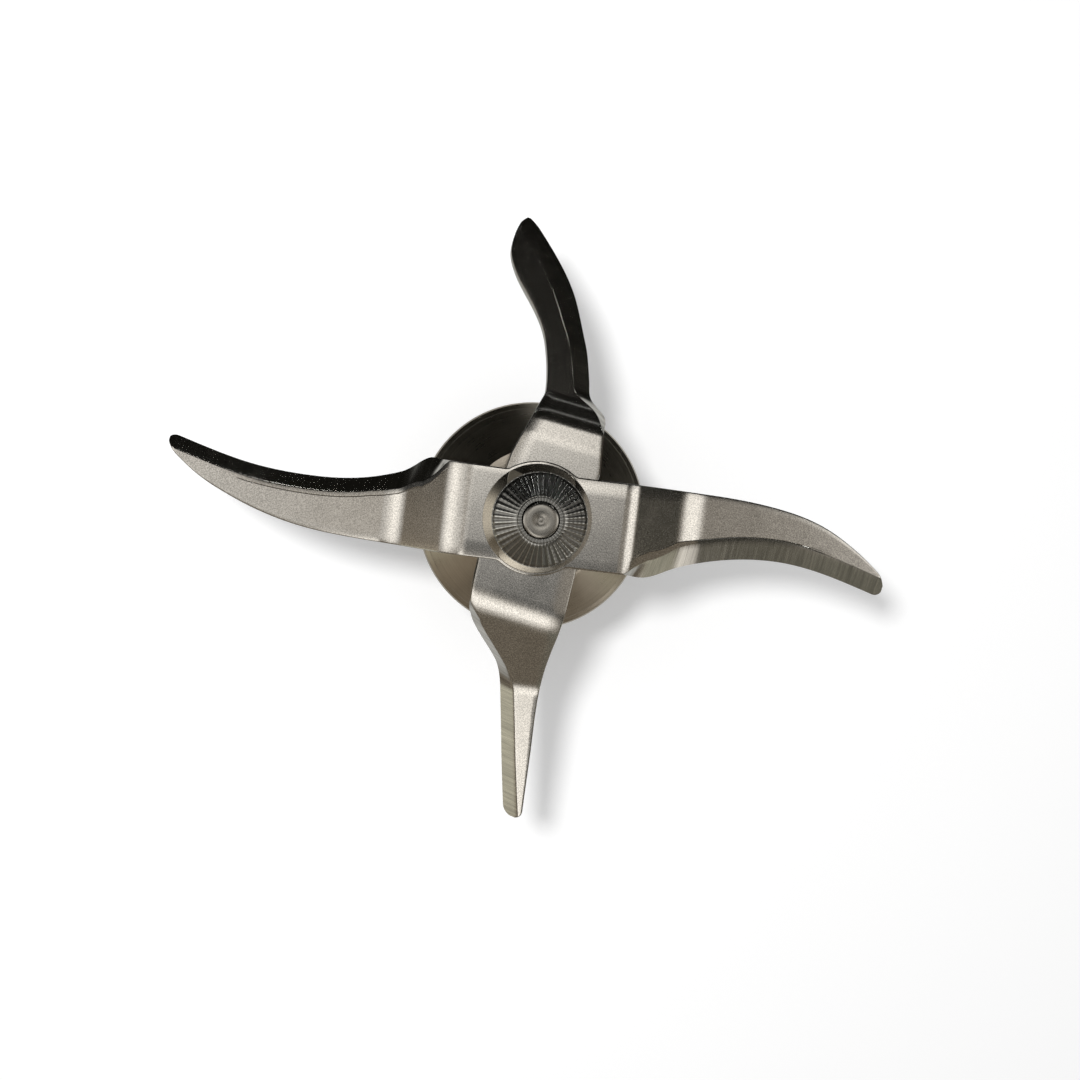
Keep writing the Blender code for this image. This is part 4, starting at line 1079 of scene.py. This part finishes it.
TENT = [
    # west, east, south and north in degrees from the zenith, softness, tint, brightness
    (-95, -58, -62, 7.0, 2.0, PLASTER, 0.33),
    (-95, -74, -62, 9.0, 3.0, PLASTER, 0.15),
    (-90, -58, -5, 2.5, 2.5, PLASTER, 0.22),
    (-82, -66, -36, -15, 2.0, OLIVE, 0.78),
    (-75, -20, 12, 34, 4.0, GREY, 0.05),
    (-62, -1, -12, 12.5, 3.0, CLOTH, 0.58),
    (-58, -13, -12, 12.5, 5.0, CLOTH, 0.75),
    (-54, -25, -12, 12.5, 7.0, CLOTH, 1.10),
    (-50, -34, -12, 12.5, 6.0, CLOTH, 1.50),
    (-12.2, -8.4, -10, 14, 1.0, SAND, 0.52),
    (-3, 12, -3, 14.5, 3.0, CLOTH, 1.60),
    (-1.5, 12, -14, 1.5, 5.5, GREY, 0.36),
    (-1.0, 12, -23, -2.2, 1.8, GREY, 0.12),
    (-14, 6, -40, -23, 8.0, CLOTH, 1.75),
    (-15, -5, -26, -14, 1.5, CLOTH, 1.75),
    (9.5, 27.5, -18, 9, 1.5, SAND, 0.30),
    (12, 34, -45, -18, 2.0, OLIVE, 0.04),
    (28, 55, -15, 11, 5.0, CLOTH, 1.45),
    (62, 95, -15, 30, 1.5, OLIVE, 0.07),
    (62, 95, -8.6, 30, 0.8, OLIVE, 0.02),
    (-2, 30, -62, -47, 2.0, OLIVE, 0.18),
    (32, 60, -60, -45, 2.5, CLOTH, 1.30),
    (60, 95, -62, -48, 3.0, OLIVE, 0.50),
    (6, 32, 52.5, 55.5, 1.0, GREY, 0.45),
]
GLINTS = [
    # east, north, half width, brightness
    (36, 34, 1.8, 10.0),
    (-5, 47, 1.8, 10.0),
]


def make_tent():
    """Make the tent that the metal mirrors: bright panels, dark gaps and two small glints."""
    mesh = bpy.data.meshes.new("tent")
    edit = bmesh.new()
    bmesh.ops.create_uvsphere(edit, u_segments=64, v_segments=32, radius=TENT_RADIUS)
    bmesh.ops.reverse_faces(edit, faces=edit.faces)
    edit.to_mesh(mesh)
    edit.free()
    mesh.shade_smooth()
    material = bpy.data.materials.new("tent_cloth")
    material.use_nodes = True
    tree = material.node_tree
    tree.nodes.clear()
    w = Wiring(tree)
    spot = w.node("ShaderNodeTexCoord", output="Object")
    turned = w.node("ShaderNodeMapping", {"vector_type": "POINT"},
                    {"Vector": spot, "Rotation": (0, 0, -math.radians(NORTH_TURN))})
    unit = w.node("ShaderNodeVectorMath", {"operation": "NORMALIZE"}, {0: turned})
    x, y, z = w.split(unit)
    tilt = w.node("ShaderNodeMath", {"operation": "ARCCOSINE"}, {0: z}) * (180 / math.pi)
    flat = ((x * x + y * y) ** 0.5).most(0.00001)
    east = tilt * x / flat
    north = tilt * y / flat
    colour = w.mix(north.ramp(-20, 18), shade(PLASTER, 0.18), shade(OLIVE, 0.008))
    for left, right, low, high, soft, tint, bright in TENT:
        across = abs(east - (left + right) / 2) - (right - left) / 2
        along = abs(north - (low + high) / 2) - (high - low) / 2
        mask = across.ramp(soft, -soft) * along.ramp(soft, -soft)
        colour = w.mix(mask, colour, shade(tint, bright))
    for e, n, size, bright in GLINTS:
        away = ((east - e) ** 2 + (north - n) ** 2) ** 0.5
        colour = w.mix(away.ramp(size * 1.4, size * 0.6), colour, shade(GREY, bright))
    colour = w.mix(tilt.ramp(100, 125), colour, shade(GREY, 0.6))
    glow = w.node("ShaderNodeEmission", None, {"Color": colour, "Strength": 1.0})
    out = tree.nodes.new("ShaderNodeOutputMaterial")
    join(tree, glow, out.inputs["Surface"])
    mesh.materials.append(material)
    tent = show("tent", mesh)
    tent.visible_camera = False
    tent.visible_diffuse = False
    tent.visible_shadow = False
    tent.visible_transmission = False


def make_light():
    """Light the scene: a pale world and one soft lamp from the upper left."""
    world = bpy.data.worlds.new("pale_room")
    bpy.context.scene.world = world
    world.use_nodes = True
    tree = world.node_tree
    tree.nodes.clear()
    w = Wiring(tree)
    seen = w.node("ShaderNodeLightPath", output="Is Camera Ray")
    glossy = w.node("ShaderNodeLightPath", output="Is Glossy Ray")
    through = w.node("ShaderNodeLightPath", output="Is Transmission Ray")
    strength = WORLD_LEVEL + (1 - WORLD_LEVEL) * seen.most(glossy).most(through)
    glow = w.node("ShaderNodeBackground", None, {"Color": (1, 1, 1, 1), "Strength": strength})
    out = tree.nodes.new("ShaderNodeOutputWorld")
    join(tree, glow, out.inputs["Surface"])
    lamp = bpy.data.lights.new("soft_key", "AREA")
    lamp.shape = "DISK"
    lamp.size = LAMP_SIZE
    lamp.energy = LAMP_POWER
    key = show("soft_key", lamp)
    turn = Matrix.Rotation(math.radians(NORTH_TURN), 3, "Z")
    key.location = turn @ Vector(LAMP_PLACE)
    key.rotation_mode = "QUATERNION"
    key.rotation_quaternion = key.location.to_track_quat("Z", "Y")
    key.visible_glossy = False


def make_camera():
    """Stand the camera where the photograph was taken."""
    data = bpy.data.cameras.new("camera")
    data.lens = CAMERA_LENS
    data.sensor_width = 36.0
    data.clip_start = 0.01
    data.clip_end = 20.0
    camera = show("camera", data)
    back = (CAMERA_PLACE - CAMERA_TARGET).normalized()
    right = CAMERA_TOP.cross(back).normalized()
    up = back.cross(right)
    rotation = Matrix((right, up, back)).transposed()
    camera.matrix_world = Matrix.Translation(CAMERA_PLACE) @ rotation.to_4x4()
    bpy.context.scene.camera = camera


make_camera()
make_plates()
make_cap()
make_shaft()
make_collar()
make_housing()
make_coupling()
make_gasket()
dress_inner_nodes()
make_floor()
make_tent()
make_light()
bpy.context.scene.view_settings.view_transform = "Standard"
